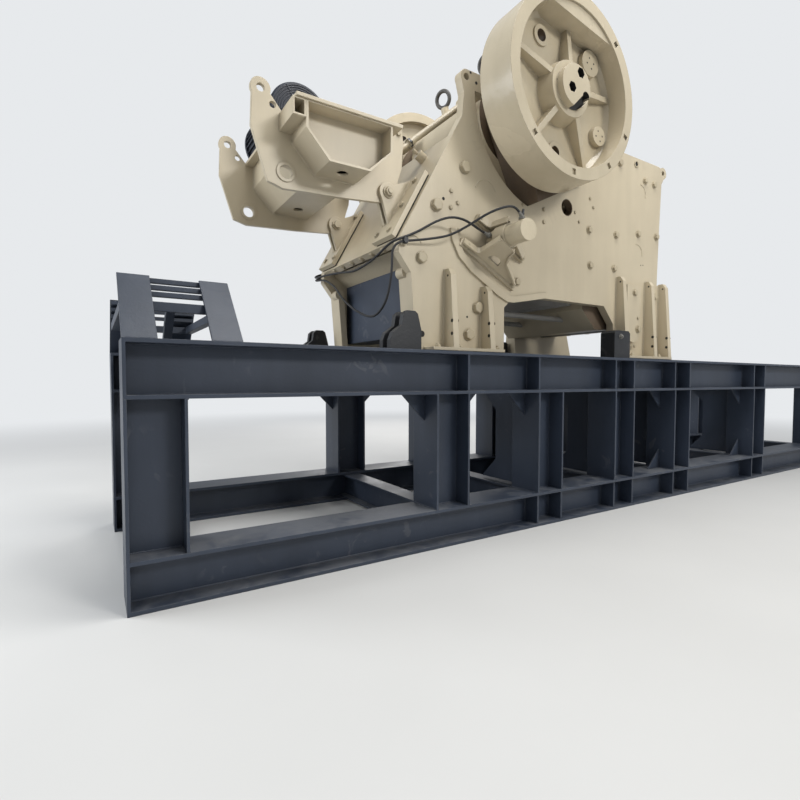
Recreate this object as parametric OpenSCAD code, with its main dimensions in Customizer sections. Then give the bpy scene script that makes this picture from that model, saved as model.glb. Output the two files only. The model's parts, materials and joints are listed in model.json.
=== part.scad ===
// Single-toggle jaw crusher that stands on the deck of its steel support chassis.
// Millimetres, +Z up, floor at Z 0. X runs along the chassis towards the feed end.
// The crusher's own shapes are drawn from the shaft axis along X and from its base line along Z.

/* [Chassis] */
// Length of the support chassis
chassis_l = 12000; // [11600:100:13000]
// Width over the two girders
chassis_w = 2600; // [2560:10:2700]
// Height of the deck above the floor
chassis_h = 1882; // [1800:2:2000]
// Height of the upper girders
upper_beam_h = 414; // [380:2:440]
// Height of the lower girders
lower_beam_h = 370; // [340:2:400]
// Flange width of the girders, and depth of the columns
flange_w = 400; // [380:5:420]
// Flange thickness of the girders
flange_t = 30; // [24:1:36]
// Web thickness of the girders and columns
web_t = 20; // [16:1:24]
// Width of a column along the chassis
column_w = 400; // [360:5:430]
// Thickness of end plates, stiffeners and column flanges
stiffener_t = 22; // [16:1:28]

/* [Trestle] */
// Height of the trestle above the deck
trestle_h = 520; // [480:5:600]
// Width of a trestle leg plate
trestle_leg_w = 220; // [180:5:240]
// Distance between the outer edges of the two leg plates
trestle_l = 800; // [760:10:900]
// Inward lean of the legs over their height
trestle_lean = 500; // [400:10:560]

/* [Crusher frame] */
// Clear width between the side plates
frame_gap = 1700; // [1660:5:1740]
// Thickness of a side plate
plate_t = 100; // [90:2:120]
// Height of the shaft axis above the base line
shaft_h = 2685; // [2665:1:2710]
// Distance from the shaft axis to the feed end of the side plates
front_l = 2660; // [2640:5:2720]
// Distance from the shaft axis to the rear foot
rear_l = 1550; // [1530:5:1570]
// How far the feet stand out from the side plates
foot_reach = 170; // [160:5:200]
// Thickness of the foot flanges
foot_t = 30; // [24:1:36]
// Thickness of the rubber pads under the feet
pad_t = 18; // [12:1:26]
// Radius of the recess that the side plates leave round the shaft
recess_r = 1110; // [1100:1:1125]
// Thickness of the ribs on the feet
foot_rib_t = 70; // [60:1:80]
// Diameter of the through hole in each side plate
side_hole_d = 200; // [180:2:220]

/* [Jaws] */
// Thickness of a jaw die over its teeth
die_t = 130; // [120:1:140]
// Height of the teeth of a jaw die
tooth_h = 45; // [35:1:50]
// Number of teeth across a jaw die
tooth_n = 14; // [12:1:16]
// Thickness of the cheek plates
cheek_t = 30; // [24:1:32]
// Running gap between the pitman and what stands beside it
side_gap = 12; // [8:1:14]

/* [Flywheels and shaft] */
// Outside diameter of a flywheel
flywheel_d = 1880; // [1800:10:1900]
// Width of a flywheel
flywheel_w = 420; // [400:5:440]
// Distance over the two flywheels
flywheel_span = 3200; // [3180:5:3240]
// Thickness of the rim
rim_t = 125; // [110:1:135]
// Thickness of the web
fly_web_t = 60; // [50:1:70]
// Diameter of the hub
fly_hub_d = 560; // [520:5:580]
// Thickness of a flywheel rib
fly_rib_t = 60; // [50:1:70]
// Number of grooves in the driven flywheel
groove_n = 9; // [7:1:10]
// Diameter of the shaft journals
journal_d = 380; // [360:2:400]
// Radial clearance of the shaft in its bearing housings
journal_clear = 0.2; // [0.1:0.05:0.3]
// Throw of the eccentric
throw = 20; // [15:1:22]
// Outside diameter of a bearing housing
housing_d = 860; // [820:5:900]

/* [Motor base] */
// Thickness of the two arms
arm_t = 40; // [34:1:46]
// Distance between the outer faces of the arms
arm_span = 1280; // [1240:10:1320]
// Length of the cross beam across the arms
cross_beam_l = 2000; // [1900:10:2060]
// Wall thickness of the cross beam
cross_wall = 20; // [16:1:24]
// Bore of the arms at their lower corner
arm_bore_d = 120; // [110:2:130]
// Diameter of the pivot pins of the motor base
pivot_d = 90; // [80:2:100]
// Diameter of the adjusting struts
strut_d = 70; // [60:2:80]
// Diameter of the motor body
motor_d = 640; // [600:10:660]
// Length of the motor body
motor_l = 900; // [840:10:960]

/* [Toggle and setting] */
// Thickness of the toggle plate
toggle_t = 110; // [90:2:130]
// Diameter of a wedge cylinder
wedge_cyl_d = 210; // [190:2:230]
// Diameter of the tension rods
rod_d = 70; // [60:2:80]
// Diameter of the hydraulic hoses
hose_d = 24; // [20:1:28]

/* [Hidden] */

$fn = 96;

// Place of the crusher on the deck
shaft_x = -1890;
// Underside of the feet below the base line
sole = -42;
foot_z = chassis_h + pad_t - sole;

// Colours of the finished machine
cream = [0.75, 0.71, 0.61];
steel_grey = [0.24, 0.26, 0.29];
dark = [0.12, 0.12, 0.13];
worn_steel = [0.45, 0.43, 0.41];
navy = [0.08, 0.11, 0.2];

// Girder and column places: the end columns follow the length, the inner ones carry the crusher
web_y = chassis_w / 2 - flange_w / 2;
end_x = chassis_l / 2;
inner_columns = [-3230, -1860, -510, 815, 3140];
column_x = concat([-end_x + column_w / 2], inner_columns, [end_x - column_w / 2]);
upper_z = chassis_h - upper_beam_h;
column_h = upper_z - lower_beam_h;
edge_off = column_w / 2 - stiffener_t / 2;
upper_stiffeners = [for (q = [[1, 1], [2, -1], [3, -1], [3, 1], [4, -1], [4, 1], [5, -1], [5, 1]])
  column_x[q[0]] + q[1] * edge_off];
lower_stiffeners = [for (q = [[2, -1], [2, 1], [3, -1], [3, 1], [4, -1], [4, 1], [5, -1], [5, 1]])
  column_x[q[0]] + q[1] * edge_off];

// Side plate: half widths and the outline's main points, from the shaft axis and the feet
plate_in = frame_gap / 2;
plate_out = plate_in + plate_t;
foot_out = plate_out + foot_reach;
knee = [-rear_l - 194, 1036];
recess_c = [297, shaft_h + 28];
neck = [recess_c[0] - recess_r - 167, shaft_h - 287];
slope = atan2(neck[1] - knee[1], neck[0] - knee[0]);
slope_n = [-sin(slope), cos(slope)];
slope_u = [cos(slope), sin(slope)];
ear = [recess_c[0] - recess_r - 114, shaft_h + 119];
ear_r = 75;
head_end = -housing_d / 2 - 130;
recess_top = shaft_h + 7;
seat_slope = 26;
seat_low = [-16, shaft_h - 1036];
seat_len = 1680;
seat_high = seat_low + seat_len * [cos(seat_slope), sin(seat_slope)];
front_top = shaft_h - 7;
front_back = 1760;
arch_h = 408;
rear_foot = [-rear_l, -365];
front_foot = [1640, front_l + 363];
front_ear = [front_l + 30, front_top - 68];
side_hole = [656, shaft_h - 927];

// Raised band that runs down over the side plate and along the arch between the feet
band_t = 25;
band = [[-1137, 1220], [-1117, 1101], [-1024, 941], [-861, 805], [-473, 588], [-337, 534], [-245, arch_h + 122],
  [300, arch_h + 222], [300, arch_h + 292], [-225, arch_h + 195], [-310, 605], [-430, 665], [-820, 880],
  [-960, 990], [-1040, 1120], [-1060, 1230]];

// Flywheel places, and the room between a flywheel and the bearing housing behind it
fly_out = flywheel_span / 2;
fly_in = fly_out - flywheel_w;
fly_r = flywheel_d / 2;
housing_gap = 80;
hub_r = fly_hub_d / 2;
hub_face = fly_out - 80;
end_plate_r = hub_r - 66;
end_plate_t = 75;

// Clearances between pieces that lie on each other, and between round pieces that sit in each other
lie_gap = 0.05;
seat_gap = 0.3;

// Hose lines past the rear corner: their distance from the side plate, and their gap to the clip
hose_off = 50;
clip_gap = 7;

// Bearing seat: the foot of the normal from the shaft axis onto the slanted seat
seat_drop = (shaft_h - seat_low[1]) * cos(seat_slope) + seat_low[0] * sin(seat_slope) - lie_gap;
seat_u = [cos(seat_slope), sin(seat_slope)];
seat_in = [sin(seat_slope), -cos(seat_slope)];
seat_flange_l = 1020;
housing_in = plate_in - 150;
housing_out = fly_in - housing_gap;
housing_half = housing_d / 2;

// Jaws: the two working faces, from foot to top
fixed_low = [2100, 400];
fixed_top = [2330, shaft_h - 205];
moving_low = [1900, 400];
moving_top = [1130, shaft_h - 305];
die_half = plate_in - cheek_t - side_gap;
pitman_half = plate_in - cheek_t - side_gap;

// Shaft steps, from the journals inwards and outwards
journal_r = journal_d / 2;
ecc_r = journal_r + 40;
pitman_bore_r = ecc_r + throw + 6;
boss_r = 520;
stub_r = journal_r - 30;
shaft_end = hub_face - 1;
fly_bore_r = stub_r + 0.05;

// Motor base points, in the X-Z plane from the knee of the side plates
pivot = [39, 519];
arm_bore = [-1016, 497];
arm_eye = [-1237, 1178];
arm_eye_low = [-1130, 1060];
arm_in = arm_span / 2 - arm_t;
plate_top_z = 1022;
plate_top_t = 30;
plate_top_x = -1047;
plate_top_l = 1044;
hex_section = [[-959, 992], [-959, 762], [-744, 526], [-337, 526], [-102, 749], [-102, 992]];
hex_centre = [-531, 759];
clevis_t = 36;
clevis_gap = 2;
clevis_base_t = 50;
clevis_base_l = 800;
clevis_base_in = arm_in - 100;
clevis_base_out = plate_in + 50;
sheet_t = 15;
strut_y = arm_in - 70;

// Adjusting struts: from the motor base to the heads of the side plates
strut_low = knee + [222, 1009];
strut_high = ear + [287, -6];
strut_angle = atan2(strut_high[1] - strut_low[1], strut_high[0] - strut_low[0]);
strut_pin_r = 38;
strut_eye_w = 70;

// Wedge cylinders: axis square to the side plates, on a bracket whose foot bars slope down to the front
cyl_at = [-589, 1153];
feet_tilt = 27.4;
foot_bar_t = 36;
collar_w = 330;
cyl_start = 100;
cyl_end = 565;
port_l = 45;
ports = [[135, 170], [470, 90]];
port_reach = wedge_cyl_d / 2 + port_l;

// Toggle line from the pitman to the wedges
toggle_a = [1090, 700];
toggle_b = [40, 1075];
toggle_angle = atan2(toggle_b[1] - toggle_a[1], toggle_b[0] - toggle_a[0]);
toggle_len = norm(toggle_b - toggle_a);
toggle_half = plate_in - 210;
beam_front = -420;
beam_low = 860;
rod_z = 500;
rod_places = [-380, 380];
lug_x = -900;
rod_end = 1400;
stud_foot = knee + 1167 * slope_u;
stud_l = 92;
screw_l = 160;

function unit(v) = v / norm(v);

// Moves children from the shaft axis and foot level to their place on the deck
module on_deck() {
  translate([shaft_x, 0, foot_z]) children();
}

// Moves children from the knee of the side plates to their place on the deck
module on_knee() {
  on_deck() translate([knee[0], 0, knee[1]]) children();
}

// Extrudes an X-Z outline from y0 to y1
module slab(y0, y1) {
  translate([0, y1, 0]) rotate([90, 0, 0]) linear_extrude(y1 - y0) children();
}

// A round bar along Y between y0 and y1 at the X-Z point p
module bar_y(p, y0, y1, r) {
  translate([p[0], y0, p[1]]) rotate([-90, 0, 0]) cylinder(h = y1 - y0, r = r);
}

// A flat strip of an X-Z outline between two points, with square ends
module strip(a, b, w) {
  d = b - a;
  translate(a) rotate(atan2(d[1], d[0])) translate([0, -w / 2]) square([norm(d), w]);
}

// Welded girder along X with end plates and outer and inner stiffeners
module girder(z0, h, stiffeners) {
  translate([-end_x, web_y - flange_w / 2, z0]) cube([chassis_l, flange_w, flange_t]);
  translate([-end_x, web_y - flange_w / 2, z0 + h - flange_t]) cube([chassis_l, flange_w, flange_t]);
  translate([-end_x, web_y - web_t / 2, z0]) cube([chassis_l, web_t, h]);
  for (x = [-end_x, end_x - stiffener_t])
    translate([x, web_y - flange_w / 2, z0]) cube([stiffener_t, flange_w, h]);
  for (x = stiffeners)
    translate([x - stiffener_t / 2, web_y, z0]) cube([stiffener_t, flange_w / 2 - 8, h]);
}

module upper_beam_near() {
  color(steel_grey) mirror([0, 1, 0]) girder(upper_z, upper_beam_h, upper_stiffeners);
}

module upper_beam_far() {
  color(steel_grey) girder(upper_z, upper_beam_h, upper_stiffeners);
}

module lower_beam_near() {
  color(steel_grey) mirror([0, 1, 0]) girder(0, lower_beam_h, lower_stiffeners);
}

module lower_beam_far() {
  color(steel_grey) girder(0, lower_beam_h, lower_stiffeners);
}

// H-section column with its web facing the side
module column(x) {
  translate([x, web_y, lower_beam_h]) {
    for (s = [-1, 1])
      translate([s * edge_off - stiffener_t / 2, -flange_w / 2, 0]) cube([stiffener_t, flange_w, column_h]);
    translate([-edge_off, -web_t / 2, 0]) cube([2 * edge_off, web_t, column_h]);
  }
}

module columns_near() {
  color(steel_grey) mirror([0, 1, 0]) for (x = column_x) column(x);
}

module columns_far() {
  color(steel_grey) for (x = column_x) column(x);
}

// Corner gussets: column index, side of the column, and 1 for the top corner or -1 for the foot
gusset_leg = 260;
gusset_t = 20;
gusset_places = [[1, -1, 1], [1, 1, 1], [2, -1, 1], [2, 1, 1], [4, -1, 1], [4, -1, -1], [5, -1, 1], [5, -1, -1]];

module gussets() {
  color(steel_grey) for (s = [-1, 1]) for (g = gusset_places) {
    z = g[2] > 0 ? upper_z : lower_beam_h;
    translate([column_x[g[0]] + g[1] * column_w / 2, s * (web_y - gusset_t), z])
      slab(-gusset_t / 2, gusset_t / 2) polygon([[0, 0], [g[1] * gusset_leg, 0], [0, -g[2] * gusset_leg]]);
  }
}

// I-section cross beams between the girder webs
module cross_beams(z0, h) {
  half = web_y - web_t / 2;
  for (x = column_x) translate([x, 0, z0 + flange_t]) {
    inner_h = h - 2 * flange_t;
    translate([-10, -half, 0]) cube([20, 2 * half, inner_h]);
    for (z = [0, inner_h - 20]) translate([-110, -half, z]) cube([220, 2 * half, 20]);
  }
}

module upper_cross_beams() {
  color(steel_grey) cross_beams(upper_z, upper_beam_h);
}

module lower_cross_beams() {
  color(steel_grey) cross_beams(0, lower_beam_h);
}

// Wall plates that run in from the four middle columns and leave a way for the conveyor
module portal_plates() {
  way = 420;
  flare = 240;
  half = web_y - web_t / 2;
  color(steel_grey) for (s = [-1, 1]) for (i = [2:5])
    translate([column_x[i] - 10, 0, lower_beam_h]) rotate([90, 0, 90]) linear_extrude(20)
      polygon([[s * half, 0], [s * (way - flare), 0], [s * way, flare], [s * way, column_h - flare],
        [s * (way - flare), column_h], [s * half, column_h]]);
}

// Trestle at the discharge end: leaning leg plates and the rails between them
leg_angle = atan2(trestle_lean, trestle_h);
leg_t = 24;
leg_root_y = chassis_w / 2 - 40;

module trestle_leg(x) {
  translate([x, 0, chassis_h]) rotate([90, 0, 90]) linear_extrude(trestle_leg_w)
    polygon([[leg_root_y, 0], [leg_root_y - leg_t / cos(leg_angle), 0],
      [leg_root_y - leg_t / cos(leg_angle) - trestle_lean, trestle_h], [leg_root_y - trestle_lean, trestle_h]]);
}

module trestle_legs() {
  color(steel_grey) for (s = [0, 1]) mirror([0, s, 0])
    for (x = [-end_x, -end_x + trestle_l - trestle_leg_w]) trestle_leg(x);
}

function leg_back_y(z) = leg_root_y - leg_t / cos(leg_angle) - trestle_lean * z / trestle_h;

module trestle_rails() {
  rail_levels = [230, 350, 410, 470];
  color(steel_grey) {
    for (s = [0, 1]) mirror([0, s, 0]) for (i = [0:3]) {
      h = i == 0 ? 70 : 36;
      z = rail_levels[i];
      y = leg_back_y(z + h);
      translate([-end_x + 10, y - 50, chassis_h + z]) cube([trestle_l - 20, 50, h]);
    }
    for (x = [-end_x + 10, -end_x + trestle_l - 80]) {
      y = leg_back_y(rail_levels[0] + 70) - 50;
      translate([x, -y, chassis_h + rail_levels[0]]) cube([70, 2 * y, 70]);
    }
    for (s = [0, 1]) mirror([0, s, 0]) translate([-end_x + 320, 0, chassis_h])
      rotate([90, 0, 90]) linear_extrude(60) {
        y = leg_back_y(rail_levels[0] + 70) - 50;
        polygon([[y - 330, 0], [y - 250, 0], [y, rail_levels[0]], [y, rail_levels[0] + 70],
          [y - 40, rail_levels[0] + 70]]);
      }
  }
}

// Outline of a side plate with its recess round the shaft
module side_outline() {
  head_top = ear[1] + ear_r;
  difference() {
    union() {
      polygon([[-rear_l, sole], [-rear_l - 60, 715], [knee[0] - 10, 900], knee, neck, [neck[0] + 23, neck[1] + 240],
        ear - [66, 34], ear, [ear[0], head_top], [head_end, head_top], [head_end, recess_top], [0, shaft_h],
        [seat_high[0], shaft_h], seat_high, [front_back, front_top], [front_l - 70, front_top],
        [front_l + 105, front_top - 63], [front_l - 5, front_top - 230], [front_l - 40, front_top - 900],
        [front_l - 70, 1016], [front_l - 70, sole], [front_foot[0], sole], [front_foot[0] - 40, arch_h],
        [front_foot[0] - 240, arch_h + 220], [300, arch_h + 220], [rear_foot[1] + 65, arch_h + 120],
        [rear_foot[1], arch_h + 60], [rear_foot[1], sole]]);
      translate(ear) circle(ear_r);
      translate(front_ear) circle(80);
    }
    intersection() {
      translate(recess_c) circle(recess_r, $fn = 180);
      translate([seat_low[0] - 2000, 0]) square([2000, recess_top]);
    }
    polygon([seat_low, seat_high, [seat_high[0], head_top], [head_end, head_top], [head_end, recess_top],
      [seat_low[0] - 100, shaft_h - 400]]);
    translate(ear) circle(35);
    translate(front_ear) circle(32);
    translate(side_hole) circle(d = side_hole_d);
  }
}

// Tapered foot rib standing on the outer face of a side plate
module foot_rib(x, z_top, out_top, out_low, w) {
  translate([x - w / 2, 0, 0]) rotate([90, 0, 90]) linear_extrude(w)
    polygon([[plate_out - 1, foot_top - 1], [plate_out + out_low, foot_top - 1], [plate_out + out_top, z_top - 60],
      [plate_out + out_top - 40, z_top], [plate_out - 1, z_top]]);
}

foot_top = sole + foot_t;
rear_ribs = [rear_foot[0] + 382, rear_foot[0] + 876];
rear_rib_tops = [790, 660];
front_ribs = [1687, 2328, 2671];
rear_flange = [rear_foot[0] + 96, rear_foot[1] - 145];
front_flange = [front_ribs[0] - foot_rib_t / 2, front_ribs[2] + foot_rib_t / 2];
foot_holes = [rear_flange[0] + 94, rear_flange[0] + 370, rear_flange[1] - 50, front_flange[0] + 228,
  front_flange[1] - 206];

module side_plate() {
  slab(plate_in, plate_out) side_outline();
  // thick rear edge with its rounded head, and the inner seat flange under the bearing housing
  slab(plate_in - 130, plate_in + 1) {
    polygon([[-rear_l, sole], [-rear_l - 60, 715], [-rear_l + 20, 715], [-rear_l + 80, sole]]);
    translate([-rear_l - 40, 740]) circle(60);
  }
  slab(housing_in, plate_in + 1)
    strip(seat_low + 40 * seat_in, seat_low + seat_flange_l * seat_u + 40 * seat_in, 80);
  strut_pin();
  // hose clip at the rear corner
  translate([-rear_l - 180, plate_out - 1, 960]) cube([50, hose_off - clip_gap - hose_d / 2 + 1, 70]);
  slab(plate_out - 1, plate_out + band_t) polygon(band);
  difference() {
    union() {
      // foot flanges
      for (f = [rear_flange, front_flange])
        translate([f[0], plate_out - 1, sole]) cube([f[1] - f[0], foot_reach + 1, foot_t]);
      translate([front_l - 71, plate_in, sole]) cube([front_foot[1] - front_l + 71, plate_t, foot_t]);
      for (i = [0, 1]) foot_rib(rear_ribs[i], rear_rib_tops[i], foot_reach - 60, foot_reach, foot_rib_t);
      for (x = front_ribs) foot_rib(x, 1030, foot_reach - 70, foot_reach, foot_rib_t);
    }
    for (x = foot_holes) translate([x, plate_out + foot_reach - 65, sole - 1]) cylinder(h = foot_t + 2, d = 44);
  }
  // raised round-bottomed pad between the front ribs, and the front edge rib
  slab(plate_out - 1, plate_out + 45) round_bottomed_pad();
  slab(plate_in, plate_out) polygon([[front_l - 71, 1016], [front_l + 55, 1016], [front_foot[1] - 10, foot_top - 1],
    [front_l - 71, foot_top - 1]]);
}

// A disc and the bar above it
module round_bottomed_pad() {
  translate([1985, 330]) circle(150);
  translate([1835, 330]) square([300, 620]);
}

// Pin and collar on the inner face of the head, for the upper eye of an adjusting strut
module strut_pin() {
  bar_y(strut_high, strut_y - strut_eye_w / 2 - 20, plate_in + 1, strut_pin_r);
  bar_y(strut_high, strut_y + strut_eye_w / 2 + lie_gap, plate_in + 1, strut_pin_r + 32);
}

module side_plate_near() {
  color(cream) on_deck() mirror([0, 1, 0]) side_plate();
}

module side_plate_far() {
  color(cream) on_deck() side_plate();
}

// Rubber pads: four under the feet, and a sheet under each clevis of the motor base
module rubber_pads() {
  foot_pad_l = 400;
  pad_w = foot_out - plate_in - 10;
  color(dark) on_deck() for (s = [0, 1]) mirror([0, s, 0]) {
    for (x = [rear_foot[0], rear_flange[1] - foot_pad_l, front_flange[0], front_flange[1] - foot_pad_l])
      translate([x, plate_in, sole - pad_t]) cube([foot_pad_l, pad_w, pad_t]);
    slab(clevis_base_in + 10, clevis_base_out - 10)
      translate(knee) rotate(slope) translate([10, lie_gap]) square([clevis_base_l - 20, sheet_t]);
  }
}

// Rear frame: slanted beam under the motor base, toggle beam and the lugs for the tension rods
module rear_frame() {
  color(cream) on_deck() difference() {
    union() {
      slab(-plate_in, plate_in) {
        strip(knee - 40 * slope_n - 20 * slope_u, knee - 40 * slope_n + 1330 * slope_u, 80);
        polygon([[-rear_l - 60, 1000], [-rear_l + 120, beam_low], [beam_front, beam_low], [beam_front, 1330],
          [-rear_l + 460, 1640]]);
      }
      for (y = rod_places) slab(y - 100, y + 100)
        polygon([[lug_x, beam_low + 1], [lug_x, rod_z - 110], [lug_x + 60, rod_z - 110],
          [lug_x + 200, beam_low + 1]]);
      for (s = [0, 1]) mirror([0, s, 0]) translate([stud_foot[0], strut_y, stud_foot[1]])
        rotate([0, -slope, 0]) {
          translate([0, 0, -1]) cylinder(h = stud_l + 1, d = 110);
          cylinder(h = screw_l, d = 34);
        }
    }
    for (y = rod_places) bar_x([lug_x - 10, rod_z], y, 400, rod_d / 2 + seat_gap);
    for (y = [-500, 500]) translate([-rear_l + 300, y - 180, 960]) cube([700, 360, 280]);
  }
}

// Dark back plate with its stiffening rib, between the side plates
module rear_back_plate() {
  color(steel_grey) on_deck() slab(-plate_in, plate_in) {
    translate([-rear_l + 120, 130]) square([40, beam_low - 130]);
    translate([-rear_l + 120, 130]) square([340, 60]);
  }
}

// A round bar along X that starts at the X-Z point p, at the given Y
module bar_x(p, y, l, r) {
  translate([p[0], y, p[1]]) rotate([0, 90, 0]) cylinder(h = l, r = r);
}

// Front frame behind the fixed jaw, with stiffening ribs on the feed side
module front_frame() {
  n = unit([fixed_top[1] - fixed_low[1], -(fixed_top[0] - fixed_low[0])]);
  back_low = fixed_low + die_t * n;
  back_top = fixed_top + die_t * n;
  color(cream) on_deck() difference() {
    union() {
      slab(-plate_in, plate_in) polygon([back_low, back_top, [back_top[0] + 90, front_top - 120],
        [back_top[0] + 90, back_top[1] - 60], back_low + [90, 0]]);
      for (z = [fixed_low[1] + 20, 1100, 1800, fixed_top[1] - 60]) {
        x0 = back_low[0] + 80 + (back_top[0] - back_low[0]) * (z - back_low[1]) / (back_top[1] - back_low[1]);
        translate([x0, -plate_in, z]) cube([front_l - 80 - x0, 2 * plate_in, 60]);
      }
      for (y = [-560, -190, 130, 500])
        slab(y, y + 60) polygon([back_low + [80, 20], back_top + [80, -60], [front_l - 110, back_top[1] - 60],
          [front_l - 110, back_low[1] + 20]]);
    }
  }
}

// Toothed jaw die: a plate with a row of trapezoid teeth across it
module jaw_die(l, half, t, teeth, pitch) {
  rotate([90, 0, 90]) linear_extrude(l)
    polygon(concat([[-half, 0], [half, 0], [half, t - tooth_h]],
      [for (i = [0:teeth - 1]) let (y = half - pitch * (i + 0.5))
        each [[y + pitch * 0.42, t - tooth_h], [y + pitch * 0.2, t], [y - pitch * 0.2, t],
          [y - pitch * 0.42, t - tooth_h]]],
      [[-half, t - tooth_h]]));
}

module fixed_jaw_die() {
  d = fixed_top - fixed_low;
  n = unit([d[1], -d[0]]);
  base = fixed_low + die_t * n;
  color(worn_steel) on_deck() translate([base[0], 0, base[1]]) rotate([0, -atan2(d[1], d[0]), 0])
    jaw_die(norm(d), die_half, die_t, tooth_n, 2 * die_half / tooth_n);
}

module moving_jaw_die() {
  d = moving_top - moving_low;
  n = unit([-d[1], d[0]]);
  base = moving_low + die_t * n;
  color(worn_steel) on_deck() translate([base[0], 0, base[1]]) rotate([0, -atan2(d[1], d[0]), 0])
    mirror([0, 0, 1]) jaw_die(norm(d), die_half, die_t, tooth_n, 2 * die_half / tooth_n);
}

module cheek_plates() {
  color(worn_steel) on_deck() for (s = [0, 1]) mirror([0, s, 0])
    slab(plate_in - cheek_t, plate_in) polygon([moving_low + [-60, 0], moving_top + [-120, 0],
      [fixed_top[0] + 20, fixed_top[1]], fixed_low + [20, 0]]);
}

// Pitman: swing jaw carrier that hangs from the eccentric and rests on the toggle plate
module pitman() {
  d = moving_top - moving_low;
  n = unit([-d[1], d[0]]);
  back_low = moving_low + die_t * n;
  back_top = moving_top + die_t * n;
  color(cream) on_deck() difference() {
    union() {
      slab(-pitman_half, pitman_half) polygon([back_low, back_top, [985, shaft_h - 485],
        [975, shaft_h - 755], [700, shaft_h - 955], [500, shaft_h - 1235], toggle_a + [60, 190],
        toggle_a + [60, -110], [back_low[0] - 360, back_low[1] - 20]]);
      bar_y([0, shaft_h], -housing_in + side_gap, housing_in - side_gap, boss_r);
      slab(-housing_in + side_gap, housing_in - side_gap)
        polygon([[-300, shaft_h - 380], [470, shaft_h + 60], back_top + [-20, 20],
          [985, shaft_h - 535], [700, shaft_h - 955], [500, shaft_h - 1235]]);
    }
    for (y = rod_places) bar_x([1000, rod_z], y, rod_end - 1000, rod_d / 2 + seat_gap);
    bar_y(toggle_a, -pitman_half - 1, pitman_half + 1, toggle_t / 2 + seat_gap);
    bar_y([0, shaft_h], -housing_in, housing_in, pitman_bore_r);
    for (y = [-510, 0, 510]) translate([640, y - 190, 1000]) rotate([0, 22, 0]) cube([300, 380, 700]);
  }
}

// Lifting eyes on long shanks on top of the pitman
module lifting_eyes() {
  ring_r = 100;
  ring_wire_r = 25;
  shank_l = 150;
  color(dark) on_deck() for (y = [-434, 434]) translate([0, y, shaft_h]) rotate([0, -14, 0])
    difference() {
      translate([0, 0, boss_r - 3]) {
        cylinder(h = shank_l, r = 52);
        translate([0, 0, shank_l + ring_r + ring_wire_r / 2]) rotate([0, 90, 18])
          rotate_extrude() translate([ring_r, 0]) circle(ring_wire_r, $fn = 32);
      }
      rotate([90, 0, 0]) translate([0, 0, -100]) cylinder(h = 200, r = boss_r + seat_gap);
    }
}

// Bearing housing on the slanted seat of a side plate
module bearing_housing() {
  t = [cos(seat_slope), sin(seat_slope)];
  n = [-sin(seat_slope), cos(seat_slope)];
  axis = [0, shaft_h];
  base = axis - seat_drop * n;
  difference() {
    slab(housing_in, housing_out) {
      translate(axis) circle(d = housing_d);
      polygon([base - 450 * t, base + 540 * t, base + 540 * t + 90 * n, base + 430 * t + 150 * n,
        axis + housing_half * t, axis - housing_half * t, base - 420 * t + 150 * n, base - 450 * t + 90 * n]);
    }
    bar_y(axis, housing_in - 1, housing_out + 1, journal_r + journal_clear);
    for (s = [-1, 1]) translate([base[0] + s * 250 * t[0] + 330 * n[0], 0, base[1] + s * 250 * t[1] + 330 * n[1]])
      rotate([-90, 0, 0]) translate([0, 0, plate_out]) cylinder(h = 300, r = 90);
  }
}

module bearing_housing_near() {
  color(cream) on_deck() mirror([0, 1, 0]) bearing_housing();
}

module bearing_housing_far() {
  color(cream) on_deck() bearing_housing();
}

// Toggle plate with round ends, between the pitman and the wedges
module toggle_plate() {
  color(worn_steel) on_deck() slab(-toggle_half, toggle_half) {
    strip(toggle_a, toggle_b, toggle_t * 0.7);
    translate(toggle_a) circle(toggle_t / 2);
    translate(toggle_b) circle(toggle_t / 2);
  }
}

// Setting wedges and toggle seat between the toggle plate and the toggle beam
module toggle_wedges() {
  color(worn_steel) on_deck() difference() {
    slab(-toggle_half - 40, toggle_half + 40)
      polygon([[beam_front, 930], [beam_front, 1280], [toggle_b[0] - 10, 1220], [toggle_b[0] - 10, 930]]);
    bar_y(toggle_b, -toggle_half - 50, toggle_half + 50, toggle_t / 2 + seat_gap);
  }
}

// Tension rods under the toggle plate, with their springs behind the lugs of the rear frame
module tension_rods() {
  spring_l = 240;
  nut_t = 60;
  color(worn_steel) on_deck() for (y = rod_places) {
    bar_x([lug_x - spring_l - nut_t - 30, rod_z], y, rod_end - lug_x + spring_l + nut_t + 30, rod_d / 2);
    bar_x([lug_x - spring_l, rod_z], y, spring_l, rod_d / 2 + 45);
    bar_x([lug_x - spring_l - nut_t, rod_z], y, nut_t + 1, rod_d / 2 + 60);
  }
}

// Eccentric shaft along Y
module eccentric_shaft() {
  axis = [0, shaft_h];
  color(worn_steel) on_deck() {
    bar_y(axis, -shaft_end, shaft_end, stub_r);
    for (s = [0, 1]) mirror([0, s, 0]) bar_y(axis, housing_in - 8, fly_in + 4, journal_r);
    bar_y(axis + [throw, 0], -housing_in + 8, housing_in - 8, ecc_r);
  }
}

// Flywheel with its outer face at +Y: rim, web, hub, ribs, lightening holes and balance weight
rib_angles = [12, 84, 155, 232, 300];
hole_angles = [118, 265];
notch_angles = [-134, -92, -52, -21, 45];
pads = [[46, 138], [-24, 106]];
rim_in = fly_r - rim_t;
web_y0 = fly_in + 110;
hole_at = rim_in - 215;
weight_at = rim_in - 147;

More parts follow.
